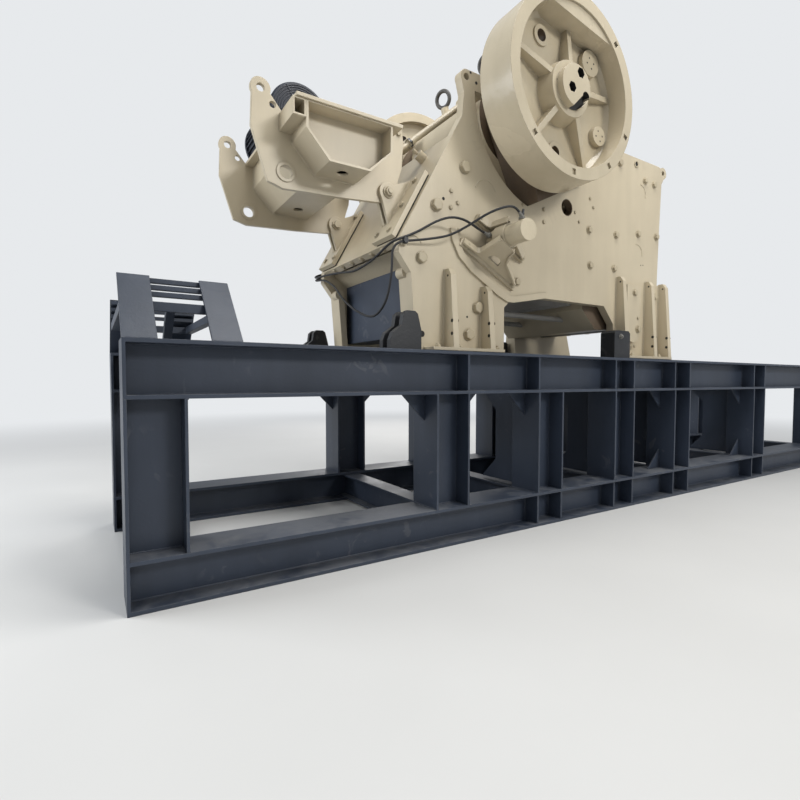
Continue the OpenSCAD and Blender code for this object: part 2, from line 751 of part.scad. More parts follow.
module flywheel_body(grooves) {
  rotate_extrude($fn = 180) difference() {
    union() {
      translate([rim_in, fly_in]) square([rim_t, flywheel_w]);
      polygon([[rim_in - 50, web_y0], [rim_in + 1, web_y0 - 40], [rim_in + 1, web_y0 + fly_web_t + 40],
        [rim_in - 50, web_y0 + fly_web_t]]);
      translate([fly_bore_r, web_y0]) square([rim_in - fly_bore_r, fly_web_t]);
      polygon([[fly_bore_r, fly_in + 6], [hub_r - 30, fly_in + 6], [hub_r + 40, web_y0 + 1],
        [hub_r + 40, web_y0 + fly_web_t - 1],
        [hub_r, hub_face], [fly_bore_r, hub_face]]);
    }
    if (grooves) for (i = [0:groove_n - 1]) {
      y = fly_in + flywheel_w * (i + 0.5) / groove_n;
      polygon([[fly_r + 1, y - 16], [fly_r + 1, y + 16], [fly_r - 26, y + 9], [fly_r - 26, y - 9]]);
    }
  }
}

module flywheel(grooves) {
  on_shaft() difference() {
    union() {
      flywheel_body(grooves);
      for (a = rib_angles) rotate([0, 0, a]) translate([hub_r - 30, -fly_rib_t / 2, 0])
        rotate([90, 0, 0]) translate([0, 0, -fly_rib_t]) linear_extrude(fly_rib_t)
          polygon([[0, web_y0 + 10], [rim_in - hub_r + 40, web_y0 + 10],
            [rim_in - hub_r + 40, web_y0 + fly_web_t + 40],
            [0, hub_face - 20]]);
      for (a = hole_angles) rotate([0, 0, a]) translate([hole_at, 0, web_y0 - 20])
        cylinder(h = fly_web_t + 40, r = 105);
      for (p = pads) rotate([0, 0, p[0]]) translate([rim_in - p[1] - 30, 0, web_y0])
        cylinder(h = fly_web_t + 60, r = p[1]);
      translate([0, 0, web_y0]) linear_extrude(fly_out - 20 - web_y0) intersection() {
        circle(rim_in + 1, $fn = 180);
        rotate(82) translate([weight_at, -rim_in]) square([400, 2 * rim_in]);
      }
    }
    for (a = hole_angles) rotate([0, 0, a]) translate([hole_at, 0, web_y0 - 30])
      cylinder(h = fly_web_t + 60, r = 62);
    for (a = notch_angles) rotate([0, 0, a]) translate([fly_r - 92, -26, fly_out - 22]) cube([60, 52, 30]);
  }
  on_shaft() translate([0, 0, hub_face - 1]) end_plate();
}

// Round locking plate on the hub with two hexagonal pockets and a slot that runs out at its edge
module end_plate() {
  difference() {
    cylinder(h = end_plate_t + 1, r = end_plate_r);
    translate([0, 0, 8]) linear_extrude(end_plate_t) {
      for (p = [[60, 144], [-66, -33]]) translate(p) circle(r = 56, $fn = 6);
      translate([146, -75]) circle(52);
      strip([146, -75], [-80, -300], 74);
    }
  }
}

// Turns a shape drawn round the Z axis so that its axis runs along +Y through the shaft
module on_shaft() {
  translate([0, 0, shaft_h]) mirror([0, 0, 1]) rotate([-90, 0, 0]) children();
}

module flywheel_near() {
  color(cream) on_deck() mirror([0, 1, 0]) flywheel(false);
}

module flywheel_far() {
  color(cream) on_deck() flywheel(true);
}

// Clevises on rubber sheets along the slanted edge: a base plate and two ears each side of an arm
module motor_clevises() {
  skin = (sheet_t + 2 * lie_gap) * slope_n;
  ear_foot = skin + (clevis_base_t - 1) * slope_n;
  color(cream) on_knee() difference() {
    for (s = [0, 1]) mirror([0, s, 0]) {
      slab(clevis_base_in, clevis_base_out) polygon([skin, skin + clevis_base_l * slope_u,
        skin + clevis_base_l * slope_u + clevis_base_t * slope_n, skin + clevis_base_t * slope_n]);
      for (y = [arm_in - clevis_gap - clevis_t, arm_span / 2 + clevis_gap]) slab(y, y + clevis_t) {
        translate(pivot) circle(100);
        polygon([ear_foot + 200 * slope_u, ear_foot + 760 * slope_u, pivot + [60, 80], pivot + [-60, 80],
          pivot - [99, 0]]);
      }
    }
    bar_y(pivot, -plate_in, plate_in, pivot_d / 2 + seat_gap);
  }
}

arm_outline = [[-1226, 1236], [-1314, 1141], [-1325, 842], [-1181, 389], [-1036, 349], [-789, 363], [-484, 377],
  [-31, 414], [134, 464], [150, 564], [180, 682], [221, 805], [238, 1052], [226, 1208], [80, 1208],
  [12, plate_top_z + 20], [12, plate_top_z], [plate_top_x, plate_top_z]];

// Lug on the inner face of an arm that the lower end of an adjusting strut stands on
module strut_lug() {
  translate(strut_low - knee) rotate(strut_angle) translate([-80, -55]) square([80, 110]);
}

module motor_arms() {
  color(cream) on_knee() for (s = [0, 1]) mirror([0, s, 0]) difference() {
    union() {
      slab(arm_in, arm_in + arm_t) difference() {
        union() {
          polygon(arm_outline);
          translate(arm_eye) circle(90);
          translate(pivot) circle(95);
        }
        polygon(hex_section);
        translate([plate_top_x, plate_top_z - plate_top_t]) square([plate_top_l, 100]);
      }
      slab(strut_y - strut_d / 2 - 15, arm_in + 1) strut_lug();
      bar_y(arm_bore, arm_in - 10, arm_in + arm_t + 12, arm_bore_d / 2 + 28);
    }
    bar_y(arm_bore, 0, arm_span, arm_bore_d / 2);
    bar_y(arm_eye, 0, arm_span, 36);
    bar_y(arm_eye_low, 0, arm_span, 30);
    bar_y(pivot, 0, arm_span, pivot_d / 2 + seat_gap);
  }
}

// Pivot pins of the motor base, each with a washer and a hexagonal head or nut at its ends
module pivot_pins() {
  end = arm_span / 2 + clevis_gap + clevis_t;
  start = arm_in - clevis_gap - clevis_t;
  washer_t = 14;
  nut_t = 30;
  color(cream) on_knee() for (s = [0, 1]) mirror([0, s, 0]) {
    bar_y(pivot, start, end, pivot_d / 2);
    bar_y(pivot, end, end + washer_t, pivot_d / 2 + 16);
    bar_y(pivot, start - washer_t, start, pivot_d / 2 + 16);
    for (y = [end + washer_t - 1, start - washer_t - nut_t]) translate([pivot[0], y, pivot[1]])
      rotate([-90, 0, 0]) cylinder(h = nut_t + 1, r = pivot_d / 2 + 2, $fn = 6);
    bar_y(pivot, end + washer_t, end + washer_t + nut_t + 14, pivot_d / 2 - 18);
  }
}

// Thin-walled hexagonal cross beam through both arms
module motor_cross_beam() {
  inner = [for (p = hex_section) p + unit(hex_centre - p) * cross_wall * 1.3];
  color(cream) on_knee() difference() {
    slab(-cross_beam_l / 2, cross_beam_l / 2) polygon(hex_section);
    for (s = [0, 1]) mirror([0, s, 0]) slab(cross_beam_l / 2 - 160, cross_beam_l / 2 + 1) polygon(inner);
    slab(-cross_beam_l / 2 + 200, cross_beam_l / 2 - 200) polygon(inner);
    for (y = [-820, -320, 320, 820]) translate([hex_centre[0] - 10, y, 464]) cylinder(h = 100, d = 110);
  }
}

module motor_top_plate() {
  color(cream) on_knee() translate([plate_top_x, -cross_beam_l / 2 - 20, plate_top_z - plate_top_t]) difference() {
    cube([plate_top_l, cross_beam_l + 40, plate_top_t]);
    for (y = [300, 700, 1340, 1740]) for (x = [140, 800]) translate([x, y, -1]) cube([110, 34, 60]);
  }
}

module motor_side_tube() {
  y = cross_beam_l / 2;
  tube = [hex_section[0][0] - 115, hex_section[0][1] - 150];
  color(cream) on_knee() for (s = [0, 1]) mirror([0, s, 0]) slab(arm_in + arm_t, y) difference() {
    translate(tube) square([115, 150]);
    translate(tube + [16, 16]) square([83, 118]);
  }
}

// Electric motor on the top plate, its shaft end towards the driven flywheel
motor_y = 20;

module motor() {
  axis = [-646, plate_top_z + motor_d / 2 + 36];
  fin_n = 36;
  color(navy) on_knee() {
    bar_y(axis, motor_y, motor_y + motor_l, motor_d / 2 - 28);
    bar_y(axis, motor_y, motor_y + 40, motor_d / 2);
    bar_y(axis, motor_y + motor_l - 40, motor_y + motor_l, motor_d / 2);
    bar_y(axis, motor_y + motor_l - 1, motor_y + motor_l + 240, 45);
    for (y = [motor_y + 120, motor_y + motor_l - 200])
      translate([axis[0] - 290, y, plate_top_z]) cube([580, 80, 120]);
    for (k = [0:fin_n - 1]) translate([axis[0], motor_y + 39, axis[1]]) rotate([0, 360 * k / fin_n, 0])
      translate([motor_d / 2 - 32, 0, -4]) cube([26, motor_l - 78, 8]);
    translate([axis[0] - 120, motor_y + 260, axis[1] + motor_d / 2 - 30]) cube([240, 260, 60]);
  }
}

// Adjusting struts from the motor base to the pins in the heads: rod, lock nut, tube and eye
module adjusting_struts() {
  l = norm(strut_high - strut_low);
  tube_from = 196;
  color(cream) on_deck() for (s = [0, 1]) mirror([0, s, 0]) difference() {
    union() {
      translate([strut_low[0], strut_y, strut_low[1]]) rotate([0, 90 - strut_angle, 0]) {
        translate([0, 0, lie_gap]) cylinder(h = tube_from, d = strut_d - 26);
        translate([0, 0, tube_from]) cylinder(h = l - tube_from, d = strut_d);
        translate([0, 0, tube_from]) cylinder(h = 34, d = strut_d + 22);
      }
      bar_y(strut_high, strut_y - strut_eye_w / 2, strut_y + strut_eye_w / 2, strut_pin_r + 28);
    }
    bar_y(strut_high, strut_y - strut_eye_w, strut_y + strut_eye_w, strut_pin_r + seat_gap);
  }
}

// Frame of a wedge cylinder: origin on the plate, x along the bracket feet, z outwards
module at_cylinder() {
  translate([cyl_at[0], -plate_out, cyl_at[1]]) rotate([90, 0, 0]) rotate(-feet_tilt) children();
}

// Web that runs from a foot bar out to the collar: one edge square to the plate, one edge hollowed out,
// a D-shaped hole, and a flange along its free edges
module bracket_web(y_foot, y_top, foot_a, foot_b) {
  rise = collar_w - foot_bar_t;
  lean = atan2(y_top - y_foot, rise);
  len = norm([y_top - y_foot, rise]);
  top_w = wedge_cyl_d / 2 + 5;
  outline = [[foot_a, 0], [foot_b, 0], [foot_b, 34], [foot_b - 80, 70], [top_w + 70, len * 0.5],
    [top_w + 18, len * 0.75], [top_w, len], [-top_w, len], [-top_w - 8, 60], [-top_w - 40, 34], [foot_a, 24]];
  translate([0, y_foot, foot_bar_t - 1]) rotate([90 - lean, 0, 0]) {
    linear_extrude(26, center = true) difference() {
      polygon(outline);
      intersection() {
        translate([70, 62]) circle(80);
        translate([-200, 62]) square([400, 200]);
      }
    }
    linear_extrude(76, center = true) {
      for (i = [2:5]) strip(outline[i] - [0, 4], outline[i + 1] - [0, 4], 20);
      for (i = [7:9]) strip(outline[i] - [0, 4], outline[i + 1] - [0, 4], 20);
    }
  }
}

// Cast bracket on the side plate that carries a wedge cylinder
module cylinder_bracket() {
  collar_r = wedge_cyl_d / 2 + 20;
  port_clear = ports[0][0] + 40;
  at_cylinder() difference() {
    union() {
      translate([-350, -284, 0]) cube([868, 90, foot_bar_t]);
      translate([-290, 70, 0]) cube([780, 80, foot_bar_t]);
      bracket_web(-238, -wedge_cyl_d / 2 - 12, -330, 470);
      bracket_web(112, wedge_cyl_d / 2 + 12, -280, 440);
      translate([0, 0, port_clear]) cylinder(h = collar_w - port_clear, r = collar_r);
    }
    translate([0, 0, -1]) cylinder(h = 1000, r = wedge_cyl_d / 2 + seat_gap);
    translate([-400, -400, -100]) cube([1000, 1000, 100]);
    // room for the raised band of the side plate under the foot bars
    linear_extrude(band_t + seat_gap) rotate(feet_tilt) translate(-cyl_at) polygon(band);
  }
}

module cylinder_bracket_near() {
  color(cream) on_deck() cylinder_bracket();
}

module cylinder_bracket_far() {
  color(cream) on_deck() mirror([0, 1, 0]) cylinder_bracket();
}

// Hydraulic cylinder that draws a setting wedge, square to the side plate, with its two ports
module wedge_cylinder() {
  at_cylinder() {
    cylinder(h = cyl_start + 1, d = wedge_cyl_d * 0.5);
    translate([0, 0, cyl_start]) cylinder(h = cyl_end - cyl_start, d = wedge_cyl_d);
    translate([0, 0, cyl_end - 16]) cylinder(h = 16, d = wedge_cyl_d + 12);
    for (q = ports) translate([0, 0, q[0]]) rotate(feet_tilt + q[1]) rotate([0, 90, 0])
      cylinder(h = port_reach, d = 46);
  }
}

module wedge_cylinder_near() {
  color(cream) on_deck() wedge_cylinder();
}

module wedge_cylinder_far() {
  color(cream) on_deck() mirror([0, 1, 0]) wedge_cylinder();
}

// Hydraulic hoses: one run joins the inner ports of both cylinders, the other their outer ports.
// The routes are from the photograph: port, arch over the bracket, clip at the rear corner, sag, and mirrored back.
function at_port(q, off) = let (r = port_reach + off)
  [cyl_at[0] + r * cos(q[1]), -plate_out - q[0], cyl_at[1] + r * sin(q[1])];

rear_x = -rear_l;
inner_x = rear_x - 280;
outer_x = rear_x - 285;
inner_near = [at_port(ports[0], seat_gap), at_port(ports[0], 20), at_port(ports[0], 45), [-850, -1090, 1190],
  [-960, -1100, 1235], [-1110, -1120, 1270], [rear_x + 300, -1100, 1268], [rear_x + 150, -1060, 1208],
  [rear_x - 10, -1030, 1108], [rear_x - 170, -1000, 1028], [rear_x - 230, -985, 1000]];
inner_rear = [[inner_x, -930, 960], [inner_x, -720, 910], [inner_x, -510, 873], [inner_x, -150, 850],
  [inner_x, 200, 900], [inner_x, 575, 940], [inner_x, 930, 960]];
outer_near = [at_port(ports[1], seat_gap), at_port(ports[1], 20), at_port(ports[1], 45), [-625, -1428, 1352],
  [-720, -1440, 1352], [-870, -1400, 1334], [-970, -1320, 1290], [-1090, -1200, 1190], [rear_x + 300, -1100, 1094],
  [rear_x + 100, -1040, 1052], [rear_x - 170, -1000, 992], [rear_x - 240, -985, 960]];
outer_rear = [[outer_x, -960, 900], [outer_x, -960, 700], [outer_x, -860, 440], [outer_x, -620, 310],
  [outer_x, -290, 380], [outer_x, 80, 560], [outer_x, 350, 780], [outer_x, 900, 915]];

function far(p) = [for (i = [len(p) - 1:-1:0]) [p[i][0], -p[i][1], p[i][2]]];
function blend(a, b, c, d, t) = 0.5 * (2 * b + (c - a) * t + (2 * a - 5 * b + 4 * c - d) * t * t
  + (3 * b - a - 3 * c + d) * t * t * t);
function smooth_route(p, fine) = concat([for (i = [0:len(p) - 2]) let (k = i < fine ? 2 : 1) for (j = [0:k - 1])
  blend(p[max(i - 1, 0)], p[i], p[i + 1], p[min(i + 2, len(p) - 1)], j / k)], [p[len(p) - 1]]);

// Eight-sided tube along a list of points
module hose(p) {
  n = len(p);
  sides = 8;
  rings = [for (i = [0:n - 1])
    let (t = unit(p[min(i + 1, n - 1)] - p[max(i - 1, 0)]), s = unit(cross(t, [0.3, 0.25, 1])), b = cross(s, t))
    for (k = [0:sides - 1]) p[i] + hose_d / 2 * (cos(45 * k) * s + sin(45 * k) * b)];
  walls = [for (i = [0:n - 2]) for (k = [0:sides - 1])
    [i * sides + k, i * sides + (k + 1) % sides, (i + 1) * sides + (k + 1) % sides, (i + 1) * sides + k]];
  polyhedron(rings, concat(walls, [[for (k = [sides - 1:-1:0]) k]],
    [[for (k = [0:sides - 1]) (n - 1) * sides + k]]));
}

module hydraulic_hoses() {
  color(dark) on_deck() {
    hose(smooth_route(concat(inner_near, inner_rear, far(inner_near)), len(inner_near)));
    hose(smooth_route(concat(outer_near, outer_rear, far(outer_near)), len(outer_near)));
  }
}

// Black stops welded to the deck beside the feet
module transport_stops() {
  back = rear_foot[0] - 90;
  front = front_foot[0] - 40;
  color(dark) on_deck() translate([0, 0, sole - pad_t]) for (s = [0, 1]) mirror([0, s, 0]) {
    for (y = [980, 1120]) slab(y, y + 60)
      polygon([[back - 340, 0], [back, 0], [back, 190], [back - 40, 340], [back - 70, 365], [back - 160, 365],
        [back - 200, 330], [back - 215, 230], [back - 310, 160], [back - 340, 90]]);
    slab(1039, 1121) polygon([[back - 300, 0], [back - 20, 0], [back - 20, 120], [back - 300, 80]]);
    slab(1000, 1200) polygon([[front - 320, 0], [front, 0], [front, 320], [front - 30, 350], [front - 290, 350],
      [front - 320, 320]]);
  }
}

upper_beam_near();
upper_beam_far();
lower_beam_near();
lower_beam_far();
columns_near();
columns_far();
gussets();
upper_cross_beams();
lower_cross_beams();
portal_plates();
trestle_legs();
trestle_rails();
side_plate_near();
side_plate_far();
rubber_pads();
rear_frame();
rear_back_plate();
front_frame();
fixed_jaw_die();
moving_jaw_die();
cheek_plates();
pitman();
lifting_eyes();
bearing_housing_near();
bearing_housing_far();
toggle_plate();
toggle_wedges();
tension_rods();
eccentric_shaft();
flywheel_near();
flywheel_far();
motor_clevises();
motor_arms();
pivot_pins();
motor_cross_beam();
motor_top_plate();
motor_side_tube();
motor();
adjusting_struts();
cylinder_bracket_near();
cylinder_bracket_far();
wedge_cylinder_near();
wedge_cylinder_far();
hydraulic_hoses();
transport_stops();
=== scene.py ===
import json
import math

import bmesh
import bpy
from mathutils import Matrix, Vector

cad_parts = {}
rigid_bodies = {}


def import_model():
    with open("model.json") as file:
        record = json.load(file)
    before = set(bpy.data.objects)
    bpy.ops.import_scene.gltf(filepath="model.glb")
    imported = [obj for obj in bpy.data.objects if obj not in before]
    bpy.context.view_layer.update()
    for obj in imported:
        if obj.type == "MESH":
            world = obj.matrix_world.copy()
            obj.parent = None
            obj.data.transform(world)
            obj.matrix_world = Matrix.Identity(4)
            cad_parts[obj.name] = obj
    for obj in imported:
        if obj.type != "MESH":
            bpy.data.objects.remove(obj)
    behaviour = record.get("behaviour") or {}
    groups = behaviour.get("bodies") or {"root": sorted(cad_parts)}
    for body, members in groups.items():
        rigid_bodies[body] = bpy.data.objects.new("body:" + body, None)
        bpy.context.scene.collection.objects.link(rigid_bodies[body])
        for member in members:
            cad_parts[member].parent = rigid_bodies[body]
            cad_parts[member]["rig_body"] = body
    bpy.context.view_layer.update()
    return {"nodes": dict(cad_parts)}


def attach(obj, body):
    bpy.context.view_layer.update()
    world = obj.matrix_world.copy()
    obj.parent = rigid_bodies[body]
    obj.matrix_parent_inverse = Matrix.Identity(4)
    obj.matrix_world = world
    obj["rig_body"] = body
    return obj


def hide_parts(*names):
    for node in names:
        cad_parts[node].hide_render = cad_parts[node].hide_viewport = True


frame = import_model()
scene = bpy.context.scene
scene.view_settings.view_transform = "Standard"


# The view. A wide lens held at head height near the discharge end of the
# chassis, turned about 32 degrees from square to the near side.
lens = bpy.data.cameras.new("view")
lens.sensor_width = 36.0
lens.lens = 22.13
lens.clip_end = 200.0
view = bpy.data.objects.new("view", lens)
scene.collection.objects.link(view)
view_place = Matrix.Translation((-6.168, -5.018, 1.6))
heading = Matrix.Rotation(-0.55896, 4, "Z")
tilt = Matrix.Rotation(math.pi / 2 - 0.04017, 4, "X")
lean = Matrix.Rotation(0.00147, 4, "Z")
view.matrix_world = view_place @ heading @ tilt @ lean
scene.camera = view


# Helpers for materials, node trees and plain meshes.
class Wire:
    """A socket of a node tree. Sums on it add Math nodes, and add() puts in any other node."""

    def __init__(self, tree, socket=None):
        self.tree = tree
        self.socket = socket

    def add(self, kind, settings=None, sockets=None, out=None):
        node = self.tree.nodes.new(kind)
        for key, value in (settings or {}).items():
            setattr(node, key, value)
        for key, value in (sockets or {}).items():
            if isinstance(key, int):
                into = node.inputs[key]
            else:
                into = next(s for s in node.inputs if s.enabled and key in (s.name, s.identifier))
            if isinstance(value, Wire):
                self.tree.links.new(value.socket, into)
            else:
                into.default_value = value
        found = [s for s in node.outputs if s.enabled and out in (None, s.name, s.identifier)]
        return Wire(self.tree, found[0] if found else None)

    def math(self, operation, a, b=0.0):
        return self.add("ShaderNodeMath", {"operation": operation}, {0: a, 1: b})

    def __add__(self, other):
        return self.math("ADD", self, other)

    __radd__ = __add__

    def __sub__(self, other):
        return self.math("SUBTRACT", self, other)

    def __rsub__(self, other):
        return self.math("SUBTRACT", other, self)

    def __mul__(self, other):
        return self.math("MULTIPLY", self, other)

    __rmul__ = __mul__

    def between(self, low, high):
        """0 below low, 1 above high, and a smooth step in between."""
        return self.add("ShaderNodeMapRange", {"interpolation_type": "SMOOTHSTEP"},
                        {"Value": self, "From Min": low, "From Max": high})

    def tint(self, under, over):
        """This value, 0 to 1, blends the colour under into the colour over."""
        return self.add("ShaderNodeMix", {"data_type": "RGBA"},
                        {"Factor": self, "A": under, "B": over})


def new_finish(name):
    """An empty material, and the tree of its nodes ready for wiring."""
    finish = bpy.data.materials.new(name)
    finish.use_nodes = True
    finish.node_tree.nodes.clear()
    return finish, Wire(finish.node_tree)


def new_tree(name, sockets, result):
    """An empty geometry tree, its wiring, and a wire from each of its (title, kind, value) inputs."""
    tree = bpy.data.node_groups.new(name, "GeometryNodeTree")
    for title, kind, value in sockets:
        socket = tree.interface.new_socket(title, in_out="INPUT", socket_type=kind)
        if value is not None:
            socket.default_value = value
    tree.interface.new_socket(result, in_out="OUTPUT", socket_type="NodeSocketGeometry")
    given = tree.nodes.new("NodeGroupInput")
    return tree, Wire(tree), [Wire(tree, given.outputs[k]) for k in range(len(sockets))]


def close_tree(tree, last):
    """Hands the last wire of a geometry tree to its output."""
    end = tree.nodes.new("NodeGroupOutput")
    tree.links.new(last.socket, end.inputs[0])


def mesh_piece(name, points, faces, finish, edges=()):
    """A piece from points in metres, with its faces or edges and one material."""
    mesh = bpy.data.meshes.new(name)
    mesh.from_pydata(points, edges, faces)
    mesh.materials.append(finish)
    piece = bpy.data.objects.new(name, mesh)
    scene.collection.objects.link(piece)
    return piece


def either_ray(net, first, second):
    """1 for rays of the first or the second kind, 0 for the others."""
    ray = net.tree.nodes.new("ShaderNodeLightPath")
    return net.math("MAXIMUM", Wire(net.tree, ray.outputs[first]), Wire(net.tree, ray.outputs[second]))


# The room. A plain pale floor that fades into a pale backdrop, a wide soft lamp
# overhead, one from the window side, one behind the viewer and one on the far side.
BACKDROP = (0.80, 0.82, 0.84, 1)
HALF_FLOOR, FLOOR_Z = 60, -0.001
FADE_FROM, FADE_TO = 5.0, 21.0

floor_paint, net = new_finish("pale_floor")
place = net.add("ShaderNodeTexCoord", out="Object")
cloud = net.add("ShaderNodeTexNoise", {}, {"Vector": place, "Scale": 0.6, "Detail": 4.0}, out="Fac")
tone = cloud.tint((0.60, 0.595, 0.58, 1), (0.66, 0.655, 0.64, 1))
shell = net.add("ShaderNodeBsdfPrincipled", {}, {"Base Color": tone, "Roughness": 0.7})
seen = either_ray(net, "Is Camera Ray", "Is Glossy Ray")
away = net.add("ShaderNodeVectorMath", {"operation": "LENGTH"}, {0: place}, out="Value")
away = away.between(FADE_FROM, FADE_TO)
glow = net.add("ShaderNodeEmission", {}, {"Color": BACKDROP, "Strength": 1.0})
blend = net.add("ShaderNodeMixShader", {}, {0: seen * away, 1: shell, 2: glow})
net.add("ShaderNodeOutputMaterial", {}, {"Surface": blend})
corners = [(x * HALF_FLOOR, y * HALF_FLOOR, FLOOR_Z) for x, y in ((-1, -1), (1, -1), (1, 1), (-1, 1))]
floor = mesh_piece("floor", corners, [(0, 1, 2, 3)], floor_paint)

sky = bpy.data.worlds.new("pale_room")
scene.world = sky
sky.use_nodes = True
sky.node_tree.nodes.clear()
net = Wire(sky.node_tree)
seen = either_ray(net, "Is Camera Ray", "Is Transmission Ray")
lit = net.add("ShaderNodeBackground", {}, {"Color": (0.90, 0.945, 1.0, 1), "Strength": 0.48})
shown = net.add("ShaderNodeBackground", {}, {"Color": BACKDROP, "Strength": 1.0})
both = net.add("ShaderNodeMixShader", {}, {0: seen, 1: lit, 2: shown})
net.add("ShaderNodeOutputWorld", {}, {"Surface": both})


def soft_lamp(name, place, target, width, height, power, colour):
    """A wide flat lamp that faces a point of the machine."""
    lamp = bpy.data.lights.new(name, "AREA")
    lamp.shape = "RECTANGLE"
    lamp.size, lamp.size_y, lamp.energy, lamp.color = width, height, power, colour
    stand = bpy.data.objects.new(name, lamp)
    scene.collection.objects.link(stand)
    aim = (Vector(target) - Vector(place)).to_track_quat("-Z", "Y").to_matrix().to_4x4()
    stand.matrix_world = Matrix.Translation(place) @ aim


soft_lamp("overhead_lamp", (-2.0, -3.0, 11.0), (-1.5, 0.0, 2.0), 7.0, 4.0, 720.0, (1.0, 0.99, 0.97))
soft_lamp("window_lamp", (-13.0, 3.0, 6.0), (-2.0, 0.0, 3.0), 6.0, 4.0, 700.0, (0.94, 0.97, 1.0))
soft_lamp("front_lamp", (3.0, -17.0, 10.0), (-1.5, 0.0, 2.4), 4.5, 2.8, 1380.0, (1.0, 0.985, 0.95))
soft_lamp("back_lamp", (4.0, 12.0, 6.5), (-1.0, 0.0, 2.4), 6.0, 3.5, 480.0, (1.0, 0.98, 0.96))


# The chassis: plate girders, H-columns and cross beams cut from steel plate,
# sprayed with a dark blue-grey primer that picks up pale workshop dust on its
# flanges, with scuffs and worn edges.
def painted_steel(name, colour, shade, dust, chip, gloss, grain, dusting, wearing, reach=0.16, grime_and_shade=0.55):
    """Sprayed paint on plate or castings: tone, runs, grime and painted shade in corners, dust on top, worn
    edges.

    gloss is the roughness of the clean paint and grain the height of its texture. dusting and
    wearing are the amounts of dust and wear, the last that of grime and painted shade in corners up to reach
    wide.
    """
    finish, net = new_finish(name)
    colour, shade, dust, chip = [tuple(c) + (1,) for c in (colour, shade, dust, chip)]
    place = net.add("ShaderNodeTexCoord", out="Object")
    surface = finish.node_tree.nodes.new("ShaderNodeNewGeometry")
    facing = Wire(finish.node_tree, surface.outputs["Normal"])
    cloud = net.add("ShaderNodeTexNoise", {}, {"Vector": place, "Scale": 1.1, "Detail": 5.0}, out="Fac")
    fine = net.add("ShaderNodeTexNoise", {}, {"Vector": place, "Scale": 46.0, "Detail": 3.0}, out="Fac")
    stretch = net.add("ShaderNodeMapping", {}, {"Vector": place, "Scale": (7.0, 7.0, 0.7)})
    runs = net.add("ShaderNodeTexNoise", {}, {"Vector": stretch, "Scale": 1.0, "Detail": 6.0}, out="Fac")
    scuff = net.add("ShaderNodeTexNoise", {},
                    {"Vector": place, "Scale": 4.5, "Detail": 9.0, "Distortion": 1.6}, out="Fac")
    soft = net.add("ShaderNodeBevel", {"samples": 4}, {"Radius": 0.007})
    turned = net.add("ShaderNodeVectorMath", {"operation": "DOT_PRODUCT"}, {0: soft, 1: facing}, out="Value")
    edge = (1.0 - turned).between(0.02, 0.12)
    corner = 1.0 - net.add("ShaderNodeAmbientOcclusion", {"samples": 4}, {"Distance": reach}, out="AO")
    up = net.add("ShaderNodeSeparateXYZ", {}, {0: facing}, out="Z")
    paint = (cloud * 0.7 + runs * 0.3).between(0.30, 0.70).tint(shade, colour)
    # Corners darkened by ambient occlusion: grime, and painted shade where shade falls.
    grime_and_painted_shade = corner.between(0.25, 0.85) * cloud.between(0.25, 0.7) * grime_and_shade
    paint = grime_and_painted_shade.tint(paint, tuple(c * 0.38 for c in shade[:3]) + (1,))
    settled = up.between(0.6, 0.95) * (cloud * 0.6 + scuff * 0.4).between(0.38, 0.62) * dusting
    paint = settled.tint(paint, dust)
    rubbed = scuff.between(0.60, 0.68) * cloud.between(0.5, 0.62) * 0.35 * wearing
    paint = rubbed.tint(paint, dust)
    worn = edge * scuff.between(0.47, 0.60) * wearing
    paint = worn.tint(paint, chip)
    rough = gloss + (cloud - 0.5) * 0.18 + settled * 0.3 + worn * 0.1 + grime_and_painted_shade * 0.2
    relief = fine * grain + scuff * grain * 1.4 - worn * 0.35
    bump = net.add("ShaderNodeBump", {},
                   {"Strength": 0.35, "Distance": 0.004, "Height": relief, "Normal": soft})
    shell = net.add("ShaderNodeBsdfPrincipled", {},
                    {"Base Color": paint, "Roughness": rough, "Normal": bump, "Specular IOR Level": 0.45})
    net.add("ShaderNodeOutputMaterial", {}, {"Surface": shell})
    return finish


chassis_primer = painted_steel(
    "chassis_primer", (0.040, 0.052, 0.078), (0.026, 0.035, 0.054), (0.16, 0.165, 0.175),
    (0.11, 0.115, 0.125), gloss=0.42, grain=0.5, dusting=0.65, wearing=0.7, grime_and_shade=0.75)


def dress(nodes, finish):
    """CAD nodes keep their shape and take a finish."""
    for name in nodes:
        for slot in frame["nodes"][name].material_slots:
            slot.material = finish


dress(["upper_beam_near", "upper_beam_far", "lower_beam_near", "lower_beam_far", "columns_near",
       "columns_far", "gussets", "upper_cross_beams", "lower_cross_beams", "portal_plates",
       "trestle_legs", "trestle_rails", "rear_back_plate"], chassis_primer)


# Weld beads. Hand-laid fillets with their ripples where columns, stiffeners and
# gussets meet the girders, and smooth machine-laid seams along the girders.
bead_tree, net, (seams, radius, ripple, uneven, seed, sides, coat) = new_tree(
    "weld_beads", (("Seams", "NodeSocketGeometry", None), ("Bead radius", "NodeSocketFloat", 0.007),
                   ("Ripple", "NodeSocketFloat", 0.012), ("Unevenness", "NodeSocketFloat", 0.3),
                   ("Seed", "NodeSocketInt", 3), ("Sides", "NodeSocketInt", 6),
                   ("Finish", "NodeSocketMaterial", None)), "Beads")
line = net.add("GeometryNodeMeshToCurve", {}, {"Mesh": seams})
line = net.add("GeometryNodeResampleCurve", {"mode": "LENGTH"}, {"Curve": line, "Length": ripple})
chance = net.add("FunctionNodeRandomValue", {"data_type": "FLOAT"}, {"Min": -1.0, "Max": 1.0, "Seed": seed})
ring = net.add("GeometryNodeCurvePrimitiveCircle", {"mode": "RADIUS"}, {"Resolution": sides, "Radius": 1.0})
skin = net.add("GeometryNodeCurveToMesh", {}, {"Curve": line, "Profile Curve": ring, "Fill Caps": True,
                                               "Scale": radius * (1.0 + chance * uneven)})
skin = net.add("GeometryNodeRealizeInstances", {}, {"Geometry": skin})
